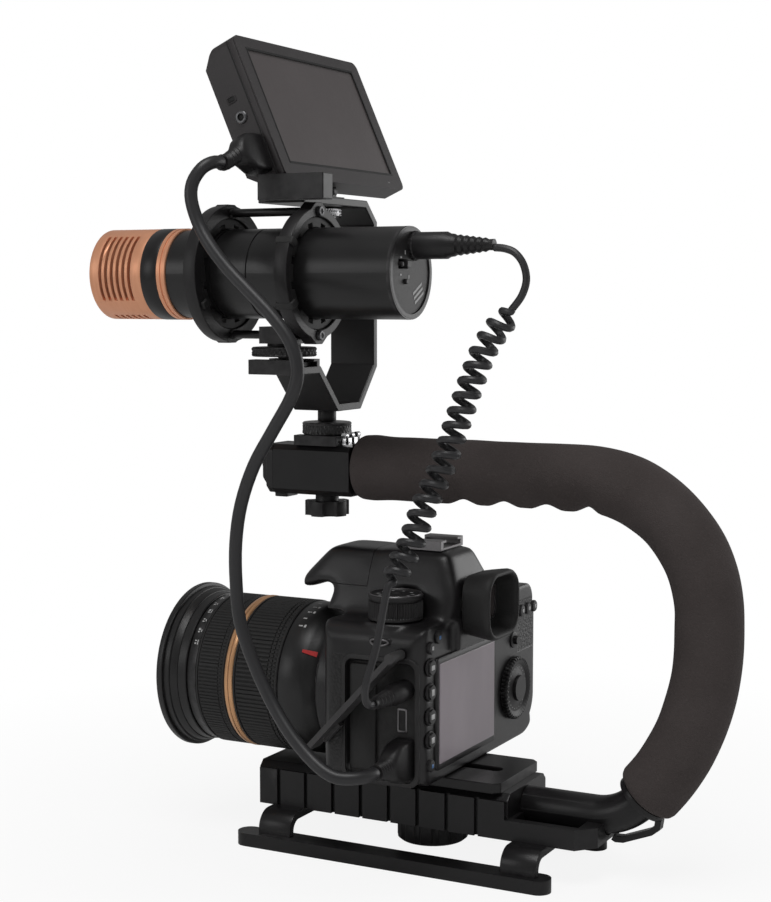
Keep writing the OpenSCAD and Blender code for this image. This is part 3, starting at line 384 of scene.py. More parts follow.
# The small display's light grey is all painted reflection; the dark grey is partly painted reflection.
dark_panel_part_painted_reflection = glossy_panel("dark_panel_part_painted_reflection", (0.074, 0.063, 0.063), (0.086, 0.074, 0.074), 0.34)
reflection_grey_panel = glossy_panel("display_window_painted_reflection", (0.31, 0.265, 0.295), (0.39, 0.34, 0.375), 0.16)
glass = make_glass()
white_paint = paint("white_print", (0.62, 0.62, 0.62))
red_paint = paint("red_mark", (0.66, 0.03, 0.03))
blue_paint = paint("blue_print", (0.10, 0.24, 0.52))
pit_black = worn_black("shadow_black", (0.006, 0.006, 0.006), (0.02, 0.02, 0.02), 0.7, 900, 0.0001, 0.1)
print("panels and paint ready")

# %% [markdown]
# ## Mesh helpers
#
# Most new pieces are one of three kinds. A turned piece is a profile spun about an axis, and a
# function of the angle can push its radius in and out, which makes ribs and knurls. A lofted
# piece joins a row of outlines. A swept piece carries an outline along a route; its frames turn as
# little as possible from point to point, so the outline doesn't twist.


# %% New piece from points and faces
def piece(name, points, faces, material, body="rig", slot="black_plastic", sharp=35, stands_for=()):
    mesh = bpy.data.meshes.new(name)
    mesh.from_pydata([tuple(p) for p in points], [], faces)
    mesh.validate()
    tidy = bmesh.new()
    tidy.from_mesh(mesh)
    bmesh.ops.remove_doubles(tidy, verts=tidy.verts, dist=1e-6)
    bmesh.ops.recalc_face_normals(tidy, faces=tidy.faces)
    tidy.to_mesh(mesh)
    tidy.free()
    mesh.shade_smooth()
    mesh.set_sharp_from_angle(angle=math.radians(sharp))
    mesh.materials.append(material)
    made = bpy.data.objects.new(name, mesh)
    bpy.context.scene.collection.objects.link(made)
    if body:
        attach(made, body)
    if stands_for:
        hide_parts(*stands_for)
    return made


def strips(rows, columns, closed_rows=False):
    """Faces between rows of points that each close on themselves."""
    last = rows if closed_rows else rows - 1
    faces = []
    for row in range(last):
        below, above = row * columns, ((row + 1) % rows) * columns
        for k in range(columns):
            k2 = (k + 1) % columns
            faces.append((below + k, below + k2, above + k2, above + k))
    return faces


# %% Turned, lofted and swept pieces
def turned(centre, axis, profile, sides=96, push=None, hollow=True):
    """Points and faces of a profile of (along, radius) pairs spun about an axis through centre."""
    points = []
    for row, (along, radius) in enumerate(profile):
        for k in range(sides):
            turn = 2 * math.pi * k / sides
            reach = radius + (push(turn, row) if push else 0.0)
            flat = (reach * math.cos(turn), reach * math.sin(turn))
            step = {"X": (along, *flat), "Y": (flat[0], along, flat[1]), "Z": (*flat, along)}[axis]
            points.append(centre + Vector(step))
    faces = strips(len(profile), sides, closed_rows=hollow)
    if not hollow:
        faces += [tuple(range(sides)), tuple(range((len(profile) - 1) * sides, len(profile) * sides))]
    return points, faces


def lofted(rings):
    """A closed skin over a row of outlines with as many points each."""
    count = len(rings[0])
    points = [p for ring in rings for p in ring]
    faces = strips(len(rings), count)
    return points, faces + [tuple(range(count)), tuple(range(len(points) - count, len(points)))]


def route_frames(path):
    """(point, direction, two directions across it) along a route."""
    frames, side = [], Vector((0, 1, 0.3))
    for k, spot in enumerate(path):
        ahead = (path[min(k + 1, len(path) - 1)] - path[max(k - 1, 0)]).normalized()
        side = (side - ahead * side.dot(ahead)).normalized()
        frames.append((spot, ahead, side, ahead.cross(side)))
    return frames


def swept(path, reach, sides=16):
    """A skin along a route; reach(k, turn) is its radius."""
    rings = []
    for k, (spot, _, side, over) in enumerate(route_frames(path)):
        turns = [2 * math.pi * j / sides for j in range(sides)]
        rings.append([spot + (side * math.cos(t) + over * math.sin(t)) * reach(k, t) for t in turns])
    return lofted(rings)


def smooth_route(knots, steps):
    """A Catmull-Rom curve through the knots."""
    path = []
    for k in range(len(knots) - 1):
        a, b, c, d = (knots[min(max(k + n, 0), len(knots) - 1)] for n in (-1, 0, 1, 2))
        for step in range(steps):
            t = step / steps
            bend = (a * -1 + b * 3 - c * 3 + d) * t**3 + (a * 2 - b * 5 + c * 4 - d) * t**2
            path.append((b * 2 + (c - a) * t + bend) / 2)
    return path + [knots[-1]]


def route_length(path):
    return sum((b - a).length for a, b in zip(path, path[1:]))


def rounded_outline(width, height, radius, corner_steps=5):
    """Points of a rounded rectangle about (0, 0)."""
    outline = []
    for quarter, (sx, sy) in enumerate(((1, 1), (-1, 1), (-1, -1), (1, -1))):
        mid = (sx * (width / 2 - radius), sy * (height / 2 - radius))
        for step in range(corner_steps + 1):
            turn = math.pi / 2 * (quarter + step / corner_steps)
            outline.append((mid[0] + radius * math.cos(turn), mid[1] + radius * math.sin(turn)))
    return outline


print("mesh helpers ready")

# %% [markdown]
# ## The display cable
#
# A 6 mm cable runs from the monitor's plug, out to the left, down in an S past the grip's head and
# round under the lens into the camera's side. Both ends show, so the visible route is its whole
# length. It is a swept tube along listed points. When the monitor tilts, the upper stretch
# has to give; here the tube is one skin that is not tied to the monitor.

# %% Display cable
cable_d = 0.006
cable_knots = [
    (0.072, -0.027, 0.331), (0.078, -0.0275, 0.3305), (0.083, -0.03, 0.3275), (0.086, -0.033, 0.321),
    (0.087, -0.033, 0.313), (0.087, -0.029, 0.302), (0.088, -0.022, 0.292), (0.088, -0.013, 0.282),
    (0.088, -0.002, 0.272), (0.088, 0.01, 0.261), (0.088, 0.019, 0.25), (0.088, 0.023, 0.238),
    (0.088, 0.02, 0.226), (0.088, 0.01, 0.21), (0.088, 0, 0.194), (0.088, -0.007, 0.176),
    (0.088, -0.01, 0.158), (0.088, -0.01, 0.14), (0.088, -0.008, 0.122), (0.088, -0.001, 0.104),
    (0.089, 0.009, 0.087), (0.091, 0.02, 0.074), (0.092, 0.03, 0.065), (0.093, 0.038, 0.06),
    (0.0925, 0.044, 0.0575), (0.0905, 0.0495, 0.057), (0.0865, 0.054, 0.057), (0.081, 0.056, 0.057),
    (0.078, 0.056, 0.057),
]
cable_path = smooth_route([at(*knot) for knot in cable_knots], 4)
cable = piece("display_cable", *swept(cable_path, lambda k, turn: cable_d / 2, 20), cord_skin,
              None, "cord_rubber", stands_for=("hdmi_cable",))
print("display cable length", round(route_length(cable_path), 3))

# %% [markdown]
# ## The curly cord
#
# A curly audio cord is a thin lead wound on a rod and set by heat. Hung by its ends the turns open
# up unevenly. The helix is worked out here: the middle line is a smooth curve, and a loop turns
# the lead round it. Its radius grows from nothing at each end, so the straight leads run into the
# curl without a kink. The whole thing is one cord from the microphone's plug to the camera's.

# %% Curly cord
lead_d = 0.0035
curl_d = 0.013
curl_turns = 19
points_a_turn = 16
lead_top = [
    (0.037, 0.095, 0.2915), (0.037, 0.1, 0.291), (0.037, 0.105, 0.289), (0.037, 0.109, 0.284),
    (0.037, 0.1105, 0.277), (0.0375, 0.1085, 0.27), (0.038, 0.104, 0.264),
]
curl_line = [
    (0.038, 0.104, 0.264), (0.039, 0.098, 0.256), (0.041, 0.092, 0.246), (0.045, 0.087, 0.23),
    (0.049, 0.0825, 0.213), (0.054, 0.078, 0.195), (0.06, 0.072, 0.177), (0.066, 0.068, 0.16),
    (0.071, 0.064, 0.149), (0.074, 0.062, 0.143),
]
lead_low = [
    (0.074, 0.062, 0.143), (0.0755, 0.061, 0.14), (0.0785, 0.06, 0.128), (0.082, 0.059, 0.115),
    (0.0855, 0.0575, 0.105), (0.0875, 0.0565, 0.098), (0.0865, 0.056, 0.0925),
    (0.0835, 0.056, 0.0895), (0.08, 0.056, 0.089),
]


def even_route(knots, count):
    """A smooth route cut into equal steps."""
    fine = smooth_route(knots, 40)
    total, spots, gone, k = route_length(fine), [], 0.0, 0
    for n in range(count + 1):
        goal = total * n / count
        while k < len(fine) - 2 and gone + (fine[k + 1] - fine[k]).length < goal:
            gone += (fine[k + 1] - fine[k]).length
            k += 1
        step = (fine[k + 1] - fine[k]).length
        spots.append(fine[k].lerp(fine[k + 1], min(1.0, (goal - gone) / step)))
    return spots


def curl(knots):
    """The lead's route round a middle line."""
    steps = curl_turns * points_a_turn
    line = even_route(knots, steps)
    coil = []
    for k, (spot, _, side, over) in enumerate(route_frames(line)):
        turn = 2 * math.pi * k / points_a_turn
        ramp = min(1.0, k / points_a_turn, (steps - k) / points_a_turn)
        reach = (curl_d - lead_d) / 2 * math.sin(ramp * math.pi / 2)
        coil.append(spot + (side * math.cos(turn) + over * math.sin(turn)) * reach)
    return coil


audio_path = smooth_route([at(*k) for k in lead_top], 5)[:-1]
audio_path += curl([at(*k) for k in curl_line])
audio_path += smooth_route([at(*k) for k in lead_low], 5)[1:]
audio_length = route_length(audio_path)
audio = piece("audio_cord", *swept(audio_path, lambda k, turn: lead_d / 2, 10), cord_skin,
              slot="cord_rubber", stands_for=("curly_coil", "audio_lead"))
print("audio cord length along the lead", round(audio_length, 3))

# %% [markdown]
# ## Plugs
#
# A moulded plug is a row of rounded rectangles: a flat shoulder that a thumb pushes, a waist, and a
# round strain relief with rings cut into it so that the cable bends gently. Lofting keeps all of
# that one skin. The display plugs are wide and flat. The audio plugs are round boots, ribbed along
# their taper.


# %% Display plugs
def plug_body(to_place, profile, name, body, node, material=None):
    """Lofts rounded rectangles of (along, width, height, corner) through to_place(x, u, v)."""
    rings = []
    for along, width, height, corner in profile:
        outline = rounded_outline(width, height, corner)
        rings.append([to_place(along, u, v) for u, v in outline])
    return piece(name, *lofted(rings), material or moulded, body, "cord_rubber", 40, (node,))


tilt = math.radians(23.8)
pivot = at(0, -0.0165, 0.3215)
screen_up = Vector((0, -math.sin(tilt), math.cos(tilt)))
screen_out = Vector((0, math.cos(tilt), math.sin(tilt)))


def on_monitor(x, out, up):
    """A point by its distance out of the screen and up it, from the hinge."""
    return Vector((rig_origin.x + x, pivot.y, pivot.z)) + screen_out * out + screen_up * up


def display_profile(start, length, end):
    """Outlines of a display plug from its face to the end of its strain relief."""
    wide, flat = 0.019, 0.0098
    rows = [(0, 0.017, 0.0085, 0.001), (0.0006, wide, flat, 0.0016), (0.35, wide, flat, 0.0018),
            (0.62, wide * 0.96, flat, 0.0026), (0.86, wide * 0.74, flat * 0.97, 0.0034),
            (1, wide * 0.55, flat * 0.93, 0.0042)]
    rings = [(start + (a if a < 0.01 else a * length), w, h, c) for a, w, h, c in rows]
    ring_count = 5
    tail = end - start - length
    for k in range(ring_count * 2 + 1):
        size = 0.0086 - 0.0011 * k / ring_count / 2 - (0.0012 if k % 2 else 0.0)
        rings.append((start + length + tail * (k + 0.5) / (ring_count * 2 + 1.5), size, size, size * 0.49))
    return rings


side_x = 0.041


def sagging(x, u, v):
    """Across the monitor's plug, whose strain relief droops towards the cable."""
    droop = max(0.0, min(1.0, (x - 0.057) / 0.013))
    droop = droop * droop * (3 - 2 * droop)
    return on_monitor(x, -0.0022 - 0.0036 * droop + v, 0.017 - 0.0041 * droop + u)


monitor_plug = plug_body(sagging,
                         display_profile(side_x, 0.019, 0.072), "display_plug_monitor", "monitor",
                         "hdmi_plug_monitor")
camera_plug = plug_body(lambda x, u, v: at(x, 0.056 + v, 0.057 + u), display_profile(0.0472, 0.0188, 0.078),
                        "display_plug_camera", "rig", "hdmi_plug_camera")
print("display plugs ready")

# %% Audio plugs
mic_x, mic_z = 0.041, 0.2804
jack = at(0.037, 0, mic_z + 0.0124)


def boot(length, thick, thin, ribs):
    """(along, radius) pairs of a ribbed round boot."""
    rows = [(0, thick * 0.8), (0.0008, thick), (length * 0.42, thick), (length * 0.46, thick * 0.86)]
    for k in range(ribs * 2):
        t = (k + 1) / (ribs * 2 + 1)
        rows.append((length * (0.47 + 0.5 * t), (thick * 0.86) * (1 - t) + thin * t - (0.0006 if k % 2 else 0)))
    return rows + [(length, thin * 0.9)]


mic_boot = turned(jack + Vector((0, 0.055, 0)), "Y", boot(0.040, 0.0062, 0.0029, 6), 40, None, False)
mic_plug = piece("audio_plug_microphone", *mic_boot, moulded, slot="cord_rubber", stands_for=("audio_plugs",))
camera_boot = turned(at(0.047, 0.056, 0.089), "X", boot(0.0325, 0.0049, 0.0028, 5), 40, None, False)
camera_audio_plug = piece("audio_plug_camera", *camera_boot, moulded, slot="cord_rubber")
print("audio plugs ready")

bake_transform(cable)
route_length(cable_path)

# %% [markdown]
# ## Rounded edges on machined pieces
#
# No real edge is perfectly sharp, and it is the thin bright line along an edge that tells the eye
# what black shape it is looking at. A bevel modifier rounds every edge that turns sharply. The
# designed mesh is left as it is: its doubled points are welded on the way, and the bevel follows.


# %% Bevels and finishes for the designed pieces
def dress(node, material, edge=0.0004):
    """A designed piece gets its finish and, where edge isn't 0, rounded edges."""
    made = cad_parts[node]
    made.data.materials.clear()
    made.data.materials.append(material)
    if edge:
        weld = made.modifiers.new("weld", "WELD")
        weld.merge_threshold = 1e-5
        round_off = made.modifiers.new("rounded_edges", "BEVEL")
        round_off.width = edge
        round_off.segments = 2
        round_off.limit_method = "ANGLE"
        round_off.angle_limit = math.radians(38)
        round_off.harden_normals = False
    return made


machined = {
    "base_body": 0.0007, "foot_bars": 0.0012, "foot_straps": 0.0006, "camera_plate": 0.0005,
    "strap_loop": 0.0004, "head_block": 0.0007, "head_shoe": 0.0003, "bracket": 0.0004,
    "bracket_foot": 0.0002, "shock_rods": 0.0002,
}
mouldings = {
    "head_cap": 0.0009, "camera_knob": 0.0006, "shock_foot": 0.0005, "mic_switch": 0.0003,
    "popup_flash": 0, "mode_dial": 0.0003, "main_dial": 0.0003, "shutter_button": 0.0006,
    "set_button": 0.0005, "menu_button_1": 0.0005, "menu_button_2": 0.0005, "menu_button_3": 0.0005,
    "menu_button_4": 0.0005, "monitor_hinge": 0.0003, "shock_rings": 0.0007,
}
for node, edge in machined.items():
    dress(node, anodised, edge)
for node, edge in mouldings.items():
    dress(node, moulded, edge)
for node, material, edge in (
    ("base_screws", screw_black, 0.0003), ("camera_screw", screw_black, 0.0002),
    ("shoe_spring", chrome, 0.0002),
    ("shock_pads", rubber, 0.0004), ("mic_body", mic_black, 0), ("mic_rear_cap", soft_touch, 0.0003),
    ("mic_grille", copper, 0.0002), ("hot_shoe", worn_grey, 0.0002),
    ("eyecup", rubber, 0.0022), ("lcd_window", reflection_grey_panel, 0.0003), ("port_flap", flap_grey, 0.0004),
    ("image_sensor", dark_panel_part_painted_reflection, 0), ("rear_dial", moulded, 0.0006), ("lens_barrel", lens_black, 0.0003),
    ("zoom_ring", rubber, 0.0004), ("focus_ring", rubber, 0.0004), ("front_rim", lens_black, 0.0005),
    ("lens_glass", glass, 0), ("monitor_case", bezel_grey, 0.0012), ("monitor_screen", dark_panel_part_painted_reflection, 0),
    ("handle_tube", anodised, 0.0002), ("foam_grip", foam, 0), ("head_knob", moulded, 0.0005),
    ("bracket_wheel", anodised, 0.0003), ("mic_wheel", moulded, 0.0003), ("monitor_wheel", chrome, 0.0003),
):
    dress(node, material, edge)
print("designed pieces dressed")

# %% [markdown]
# ## The foam sleeve
#
# The sleeve is a foam tube pushed over the bent grip. Its inner side has four finger dents under
# the top arm, and its ends are cut square and rounded a little. Foam over a bend is never quite
# round: it bunches on the inside, which this skin leaves out. A swept skin suits the rest, because
# its radius can be a function of where it is. A slow noise adds the unevenness of a soft material.

# %% Route of the grip
arm_z = 0.186
foam_front = 0.0077
upper_bend, lower_bend = Vector((0, 0.125, 0.126)), Vector((0, 0.074, 0.115))
upper_r, lower_r = 0.060, 0.111
foam_r = 0.0155
lower_turn = math.radians(42)


def arc(centre, radius, start, end, steps):
    """Points of an arc in the upright plane, by angles from +Y towards +Z."""
    turns = [start + (end - start) * k / steps for k in range(steps + 1)]
    return [at(0, centre.y + radius * math.cos(t), centre.z + radius * math.sin(t)) for t in turns]


foam_path = [at(0, foam_front + (upper_bend.y - foam_front) * k / 90, arm_z) for k in range(90)]
foam_path += arc(upper_bend, upper_r, math.pi / 2, 0, 60)[:-1]
foam_path += [at(0, upper_bend.y + upper_r, upper_bend.z - 0.011 * k / 6) for k in range(6)]
foam_path += arc(lower_bend, lower_r, 0, -lower_turn, 54)
print("foam length", round(route_length(foam_path), 3))

# %% Foam sleeve
finger_dents = (0.064, 0.085, 0.107, 0.1285)
dent_depth = 0.0026
dent_half = 0.0085


def dent_at(y):
    """How deep the finger dents are at a place along the arm."""
    depth = 0.0
    for spot in finger_dents:
        away = abs(y - spot) / dent_half
        depth = max(depth, 0.0 if away > 1 else math.cos(away * math.pi / 2) ** 1.5)
    return dent_depth * depth


def sleeve():
    count = len(foam_path)
    gone = [0.0]
    for a, b in zip(foam_path, foam_path[1:]):
        gone.append(gone[-1] + (b - a).length)
    rings, sides, edge = [], 56, 0.0035
    for k, spot in enumerate(foam_path):
        ahead = (foam_path[min(k + 1, count - 1)] - foam_path[max(k - 1, 0)]).normalized()
        inward = Vector((1, 0, 0)).cross(ahead)
        from_end = min(gone[k], gone[-1] - gone[k])
        rounding = 0.0 if from_end > edge else edge - math.sqrt(edge**2 - (edge - from_end) ** 2)
        swell = 0.0005 * math.exp(-((gone[k] - 0.008) / 0.006) ** 2)
        dent = dent_at(spot.y - rig_origin.y) if k < 150 else 0.0
        ring = []
        for j in range(sides):
            turn = 2 * math.pi * j / sides
            facing = math.cos(turn)
            lump = 0.00035 * solid_noise(spot * 55 + Vector((math.cos(turn), math.sin(turn), 0)) * 0.8)
            reach = foam_r + swell - rounding * 0.8 + lump
            reach -= dent * max(0.0, -facing) ** 1.3
            across = Vector((1, 0, 0)) * math.sin(turn) + inward * facing
            ring.append(spot + across * reach)
        rings.append(ring)
    return lofted(rings)


foam_sleeve = piece("foam_sleeve", *sleeve(), foam, slot="foam", sharp=60, stands_for=("foam_grip",))
print("foam faces", len(foam_sleeve.data.polygons))

# %% [markdown]
# ## The bare tube
#
# Between the tray and the sleeve the tube shows its real section: an aluminium extrusion with
# rounded flutes along it, which stop the foam and the clamp from turning. The flutes are a cosine
# added to the radius. The top end stays plain where the head block grips it.

# %% Fluted tube
tube_r = 0.009
flute_depth = 0.0015
flute_count = 8
tube_sides = 96
tray_z = 0.0285
small_bend = 0.030
bend_start_y = 0.1321
tube_path = [at(0, 0.0973 + (bend_start_y - 0.0973) * k / 12, tray_z) for k in range(12)]
centre = Vector((0, bend_start_y, tray_z + small_bend))
tube_path += arc(centre, small_bend, -math.pi / 2, -math.pi / 2 + math.radians(48), 24)
foam_end = foam_path[-1]
tube_path += [foam_end]
piece(
    "fluted_tube",
    *swept(tube_path, lambda k, t: tube_r - flute_depth * (0.5 - 0.5 * math.cos(flute_count * t)) ** 1.6,
           tube_sides),
    anodised, slot="black_anodised", sharp=50)
print("tube sides", tube_sides)

# %% [markdown]
# ## Ribbed lens rings
#
# Both lens rings wear a rubber sleeve with long narrow ribs. The zoom ring's also has short rows of
# blocks at one end, and a plain printed band lies in front of the focus ring's. Ribs and blocks are
# made by a radius that drops in narrow grooves round the ring and along it. Real geometry is needed, because the
# ribs show against the light at the ring's edge.


# %% Rib profiles
lens_axis = at(0, 0, lens_z)


def groove(turn, count, share):
    """1 in the grooves between count ribs, 0 on top of them."""
    spot = (turn * count / (2 * math.pi)) % 1.0
    return 1.0 if spot < share else 0.0


def ring_rows(front, back, cuts):
    """Places along a ring where rows of blocks start and end, with 1 marking a groove."""
    wide, soft = 0.0007, 0.00015
    spots = []
    for share in cuts:
        start = front + (back - front) * share
        spots += [(start - soft, 0), (start, 1), (start + wide, 1), (start + wide + soft, 0)]
    return spots[1:] + [(back - soft, 0), (back, 1)]


def ribbed_ring(name, body, node, front, back, radius, inner, count, cuts, depth):
    """A rubber ring with blocks in rows, between two plain rims."""
    rim = 0.0012
    spots = ring_rows(front + rim, back - rim, cuts)
    outer = [(front, radius - 0.0004, 0), (front + 0.0004, radius, 0), (front + rim, radius, 0)]
    outer += [(y, radius, mark) for y, mark in spots]
    outer += [(back - rim, radius, 0), (back - 0.0004, radius, 0), (back, radius - 0.0004, 0)]
    profile = [(y, r) for y, r, _ in outer] + [(back, inner), (front, inner)]
    first, last = 3, 3 + len(spots) - 1

    def push(turn, row):
        if row < first or row > last:
            return 0.0
        return -depth * max(outer[row][2], groove(turn, count, 0.3))

    made = turned(lens_axis, "Y", profile, count * 6, push)
    return piece(name, *made, rubber, body, "ring_rubber", 30, (node,))


# %% Lens rings
lens_r = 0.0382
ring_bore = 0.03304
zoom = ribbed_ring("zoom_grip", "zoom_ring", "zoom_ring", -0.0447, -0.0193, lens_r, ring_bore, 112,
                   (0, 0.8, 0.9), 0.0005)
focus = ribbed_ring("focus_grip", "focus_ring", "focus_ring", -0.0665, -0.0498, lens_r - 0.0001, ring_bore,
                    132, (0, 0.84), 0.0004)
band_profile = [(-0.072, 0.0368), (-0.0715, 0.0372), (-0.0668, 0.0376), (-0.0666, ring_bore),
                (-0.072, ring_bore)]
piece("focus_scale_band", *turned(lens_axis, "Y", band_profile, 128), lens_black,
                   "focus_ring", "lens_black")
print("lens rings", len(zoom.data.polygons), len(focus.data.polygons))

# %% Gold band, bayonet and filter thread
gold_profile = [(-0.0496, 0.0377), (-0.0490, 0.03815), (-0.0476, 0.03835), (-0.0472, 0.0379),
                (-0.0468, 0.03835),
                (-0.0454, 0.03815), (-0.0449, 0.0377), (-0.0449, 0.0370), (-0.0496, 0.0370)]
piece("gold_band", *turned(lens_axis, "Y", gold_profile, 160), gold, slot="copper")
rim_steps = [(-0.0809, 0.0387), (-0.0871, 0.0387), (-0.0874, 0.0390), (-0.0875, 0.0412), (-0.0872, 0.0418),
             (-0.0867, 0.0420), (-0.0845, 0.0420), (-0.0841, 0.0417), (-0.0839, 0.0410), (-0.0838, 0.0404),
             (-0.0812, 0.0402), (-0.0809, 0.0399), (-0.0807, 0.0394), (-0.0775, 0.0386), (-0.0771, 0.0383),
             (-0.0770, 0.0380), (-0.0730, 0.0377), (-0.0726, 0.0374), (-0.0724, 0.0369), (-0.0724, 0.0331),
             (-0.0806, 0.0331), (-0.0809, 0.0334)]
piece("stepped_rim", *turned(lens_axis, "Y", rim_steps, 160), lens_black, slot="lens_black",
      sharp=28, stands_for=("front_rim",))
thread = [(-0.0872, 0.0386)]
for k in range(8):
    thread += [(-0.0870 + k * 0.00075, 0.0381), (-0.0866 + k * 0.00075, 0.0386)]
thread += [(-0.0812, 0.0387), (-0.0872, 0.0389)]
piece("filter_thread", *turned(lens_axis, "Y", thread, 128), lens_black, slot="lens_black")
flange_rows = [(-0.0019, 0.0331), (-0.0001, 0.0331), (-0.0001, 0.0305), (-0.0019, 0.0305)]
piece("bayonet_flange", *turned(lens_axis, "Y", flange_rows, 96), worn_grey, slot="bright_steel")
inner_rows = [(-0.0800, 0.0329), (-0.0770, 0.0300), (-0.0762, 0.0290), (-0.0752, 0.0290), (-0.0790, 0.0327)]
piece("front_cone", *turned(lens_axis, "Y", inner_rows, 96), lens_black, slot="lens_black")
print("lens trim ready")

# %% [markdown]
# ## Printed marks
#
# The lens carries distances and focal lengths. Only plain strokes are drawn here: short dashes
# and dots set round the barrel like a scale, lying a hair's breadth above the surface. The red
# mount mark is a flat patch that narrows towards one end. Each stroke is a curved patch, so it follows the barrel.


# %% Scale strokes
def stroke(points, faces, y, length, turn, width, radius):
    """Adds a curved patch to a growing mesh."""
    start, steps = len(points), 4
    for k in range(steps + 1):
        a = turn + (k / steps - 0.5) * width / radius
        for along in (y, y + length):
            points.append(at(radius * math.cos(a), along, lens_z + radius * math.sin(a)))
    faces += [(start + 2 * k, start + 2 * k + 1, start + 2 * k + 3, start + 2 * k + 2) for k in range(steps)]


def scale_marks(name, body, strokes, radius, material):
    points, faces = [], []
    for y, length, degrees, width in strokes:
        stroke(points, faces, y, length, math.radians(degrees), width, radius)
    return piece(name, points, faces, material, body, "bright_steel")


distance_marks = []
for k in range(11):
    spin = 28 + k * 9.5
    distance_marks += [(-0.0698, 0.0011, spin, 0.0007), (-0.0698, 0.0011, spin + 2.2,
                                                         0.0012 if k % 2 else 0.0006)]
    distance_marks += [(-0.0682, 0.0005, spin + 1.0, 0.0026 if k % 3 == 0 else 0.0013)]
scale_marks("distance_scale", "focus_ring", distance_marks, 0.03768, white_paint)
focal_marks = [(-0.0150, 0.0022, 52 + k * 8, 0.0008) for k in range(6)]
focal_marks += [(-0.0120, 0.0012, 52 + k * 8, 0.0018) for k in (0, 2, 3, 5)]
focal_marks += [(-0.0140, 0.0026, -38, 0.0009)]
scale_marks("focal_scale", "rig", focal_marks, 0.03778, white_paint)
mark_points = []
for y, radius, width in ((-0.0078, 0.03785, 0.0011), (-0.0075, 0.0379, 0.0016), (-0.0012, 0.0342, 0.0026)):
    for side in (-0.5, 0.5):
        turn = math.radians(31) + side * width / radius
        mark_points.append(at(radius * math.cos(turn), y, lens_z + radius * math.sin(turn)))
piece("mount_mark", mark_points, [(0, 1, 3, 2), (2, 3, 5, 4)], red_paint, slot="copper")
print("scale strokes", len(distance_marks) + len(focal_marks))

# %% [markdown]
# ## Microphone
#
# The copper cap is slotted so that sound reaches the capsule. Inside it sits a fine metal screen over
# the capsule, which is what the slots show. Two bands trim the joint between cap and body: a wide
# black one and a narrow copper one with a groove. The long body stays plain black metal.

# %% Microphone trim
mic_axis = at(mic_x, 0, mic_z)
screen_push = lambda turn, row: -0.0002 if (row + int(turn * 60)) % 2 else 0.0
screen_rows = [(-0.1064 + k * 0.0006, 0.01715) for k in range(40)]
piece("inner_screen", *turned(mic_axis, "Y", screen_rows, 160, screen_push, False), worn_grey,
                     slot="bright_steel", sharp=80)
piece("black_band", *turned(mic_axis, "Y", [(-0.0792, 0.0219), (-0.0788, 0.0221), (-0.0706, 0.0221),
                   (-0.0702, 0.0219), (-0.0702, 0.0211), (-0.0792, 0.0211)], 120), anodised,
                   slot="black_anodised")
copper_rows = [(-0.0701, 0.0217), (-0.0698, 0.0221), (-0.0679, 0.0221), (-0.0677, 0.0217), (-0.0672, 0.0217),
               (-0.0670, 0.0221), (-0.0652, 0.0221), (-0.0649, 0.0217), (-0.0649, 0.0211), (-0.0701, 0.0211)]
piece("copper_band", *turned(mic_axis, "Y", copper_rows, 120), copper, slot="copper")
rim_rows = [(0.0536, 0.0213), (0.0549, 0.0213), (0.0556, 0.0206), (0.0556, 0.0188), (0.0546, 0.0188)]
piece("rear_rim", *turned(mic_axis, "Y", rim_rows, 120), anodised, slot="black_anodised")
print("microphone bands ready")

# %% Rear plate of the microphone
plate_y = 0.0549
rear_marks_points, rear_marks_faces = [], []
marks = [(0.0335, 0.2885, 0.0028, 0.0008, 0), (0.0462, 0.2896, 0.0008, 0.0018, 0),
         (0.0502, 0.2873, 0.0016, 0.0008, 0),
         (0.0425, 0.2785, 0.0008, 0.0016, 0), (0.0505, 0.2795, 0.0014, 0.0008, 0)]
marks += [(0.0338 - 0.0009 * k, 0.2732 - 0.0021 * k, 0.0088, 0.0013, -0.55) for k in range(3)]
for x, z, w, h, slant in marks:
    first = len(rear_marks_points)
    corners = ((-w / 2, -h / 2), (w / 2, -h / 2), (w / 2, h / 2), (-w / 2, h / 2))
    rear_marks_points += [at(x + dx, plate_y + 0.00012, z + dz + slant * dx) for dx, dz in corners]
    rear_marks_faces.append(tuple(range(first, first + 4)))
for k, (x, z) in enumerate(((0.0505, 0.2843), (0.0462, 0.2765)), 1):
    peg = [(0, 0.0012), (0.0012, 0.0012), (0.0016, 0.0008)]
    piece(f"mic_peg_{k}", *turned(at(x, plate_y - 0.0002, z), "Y", peg, 20, None, False), moulded)
piece("rear_marks", rear_marks_points, rear_marks_faces, white_paint, slot="bright_steel")
nut_rows = [(0.0545, 0.0068), (0.0562, 0.0068), (0.0567, 0.0064), (0.0567, 0.0019), (0.0545, 0.0019)]
piece("jack_nut", *turned(jack, "Y", nut_rows, 6 * 8, lambda t,
                          row: -0.0004 if row < 3 and int(t * 6) % 2 else 0),
      moulded, slot="black_plastic")
print("rear marks", len(rear_marks_faces))

# %% [markdown]
# ## Knurled wheels
#
# A thumb wheel is rolled between two cutters whose lines cross, which raises rows of tiny
# pyramids. The rim here is a grid of points, and a point sinks where either set of slanted lines
# passes. That gives real diamonds that catch the light, unlike a bump on a smooth rim.


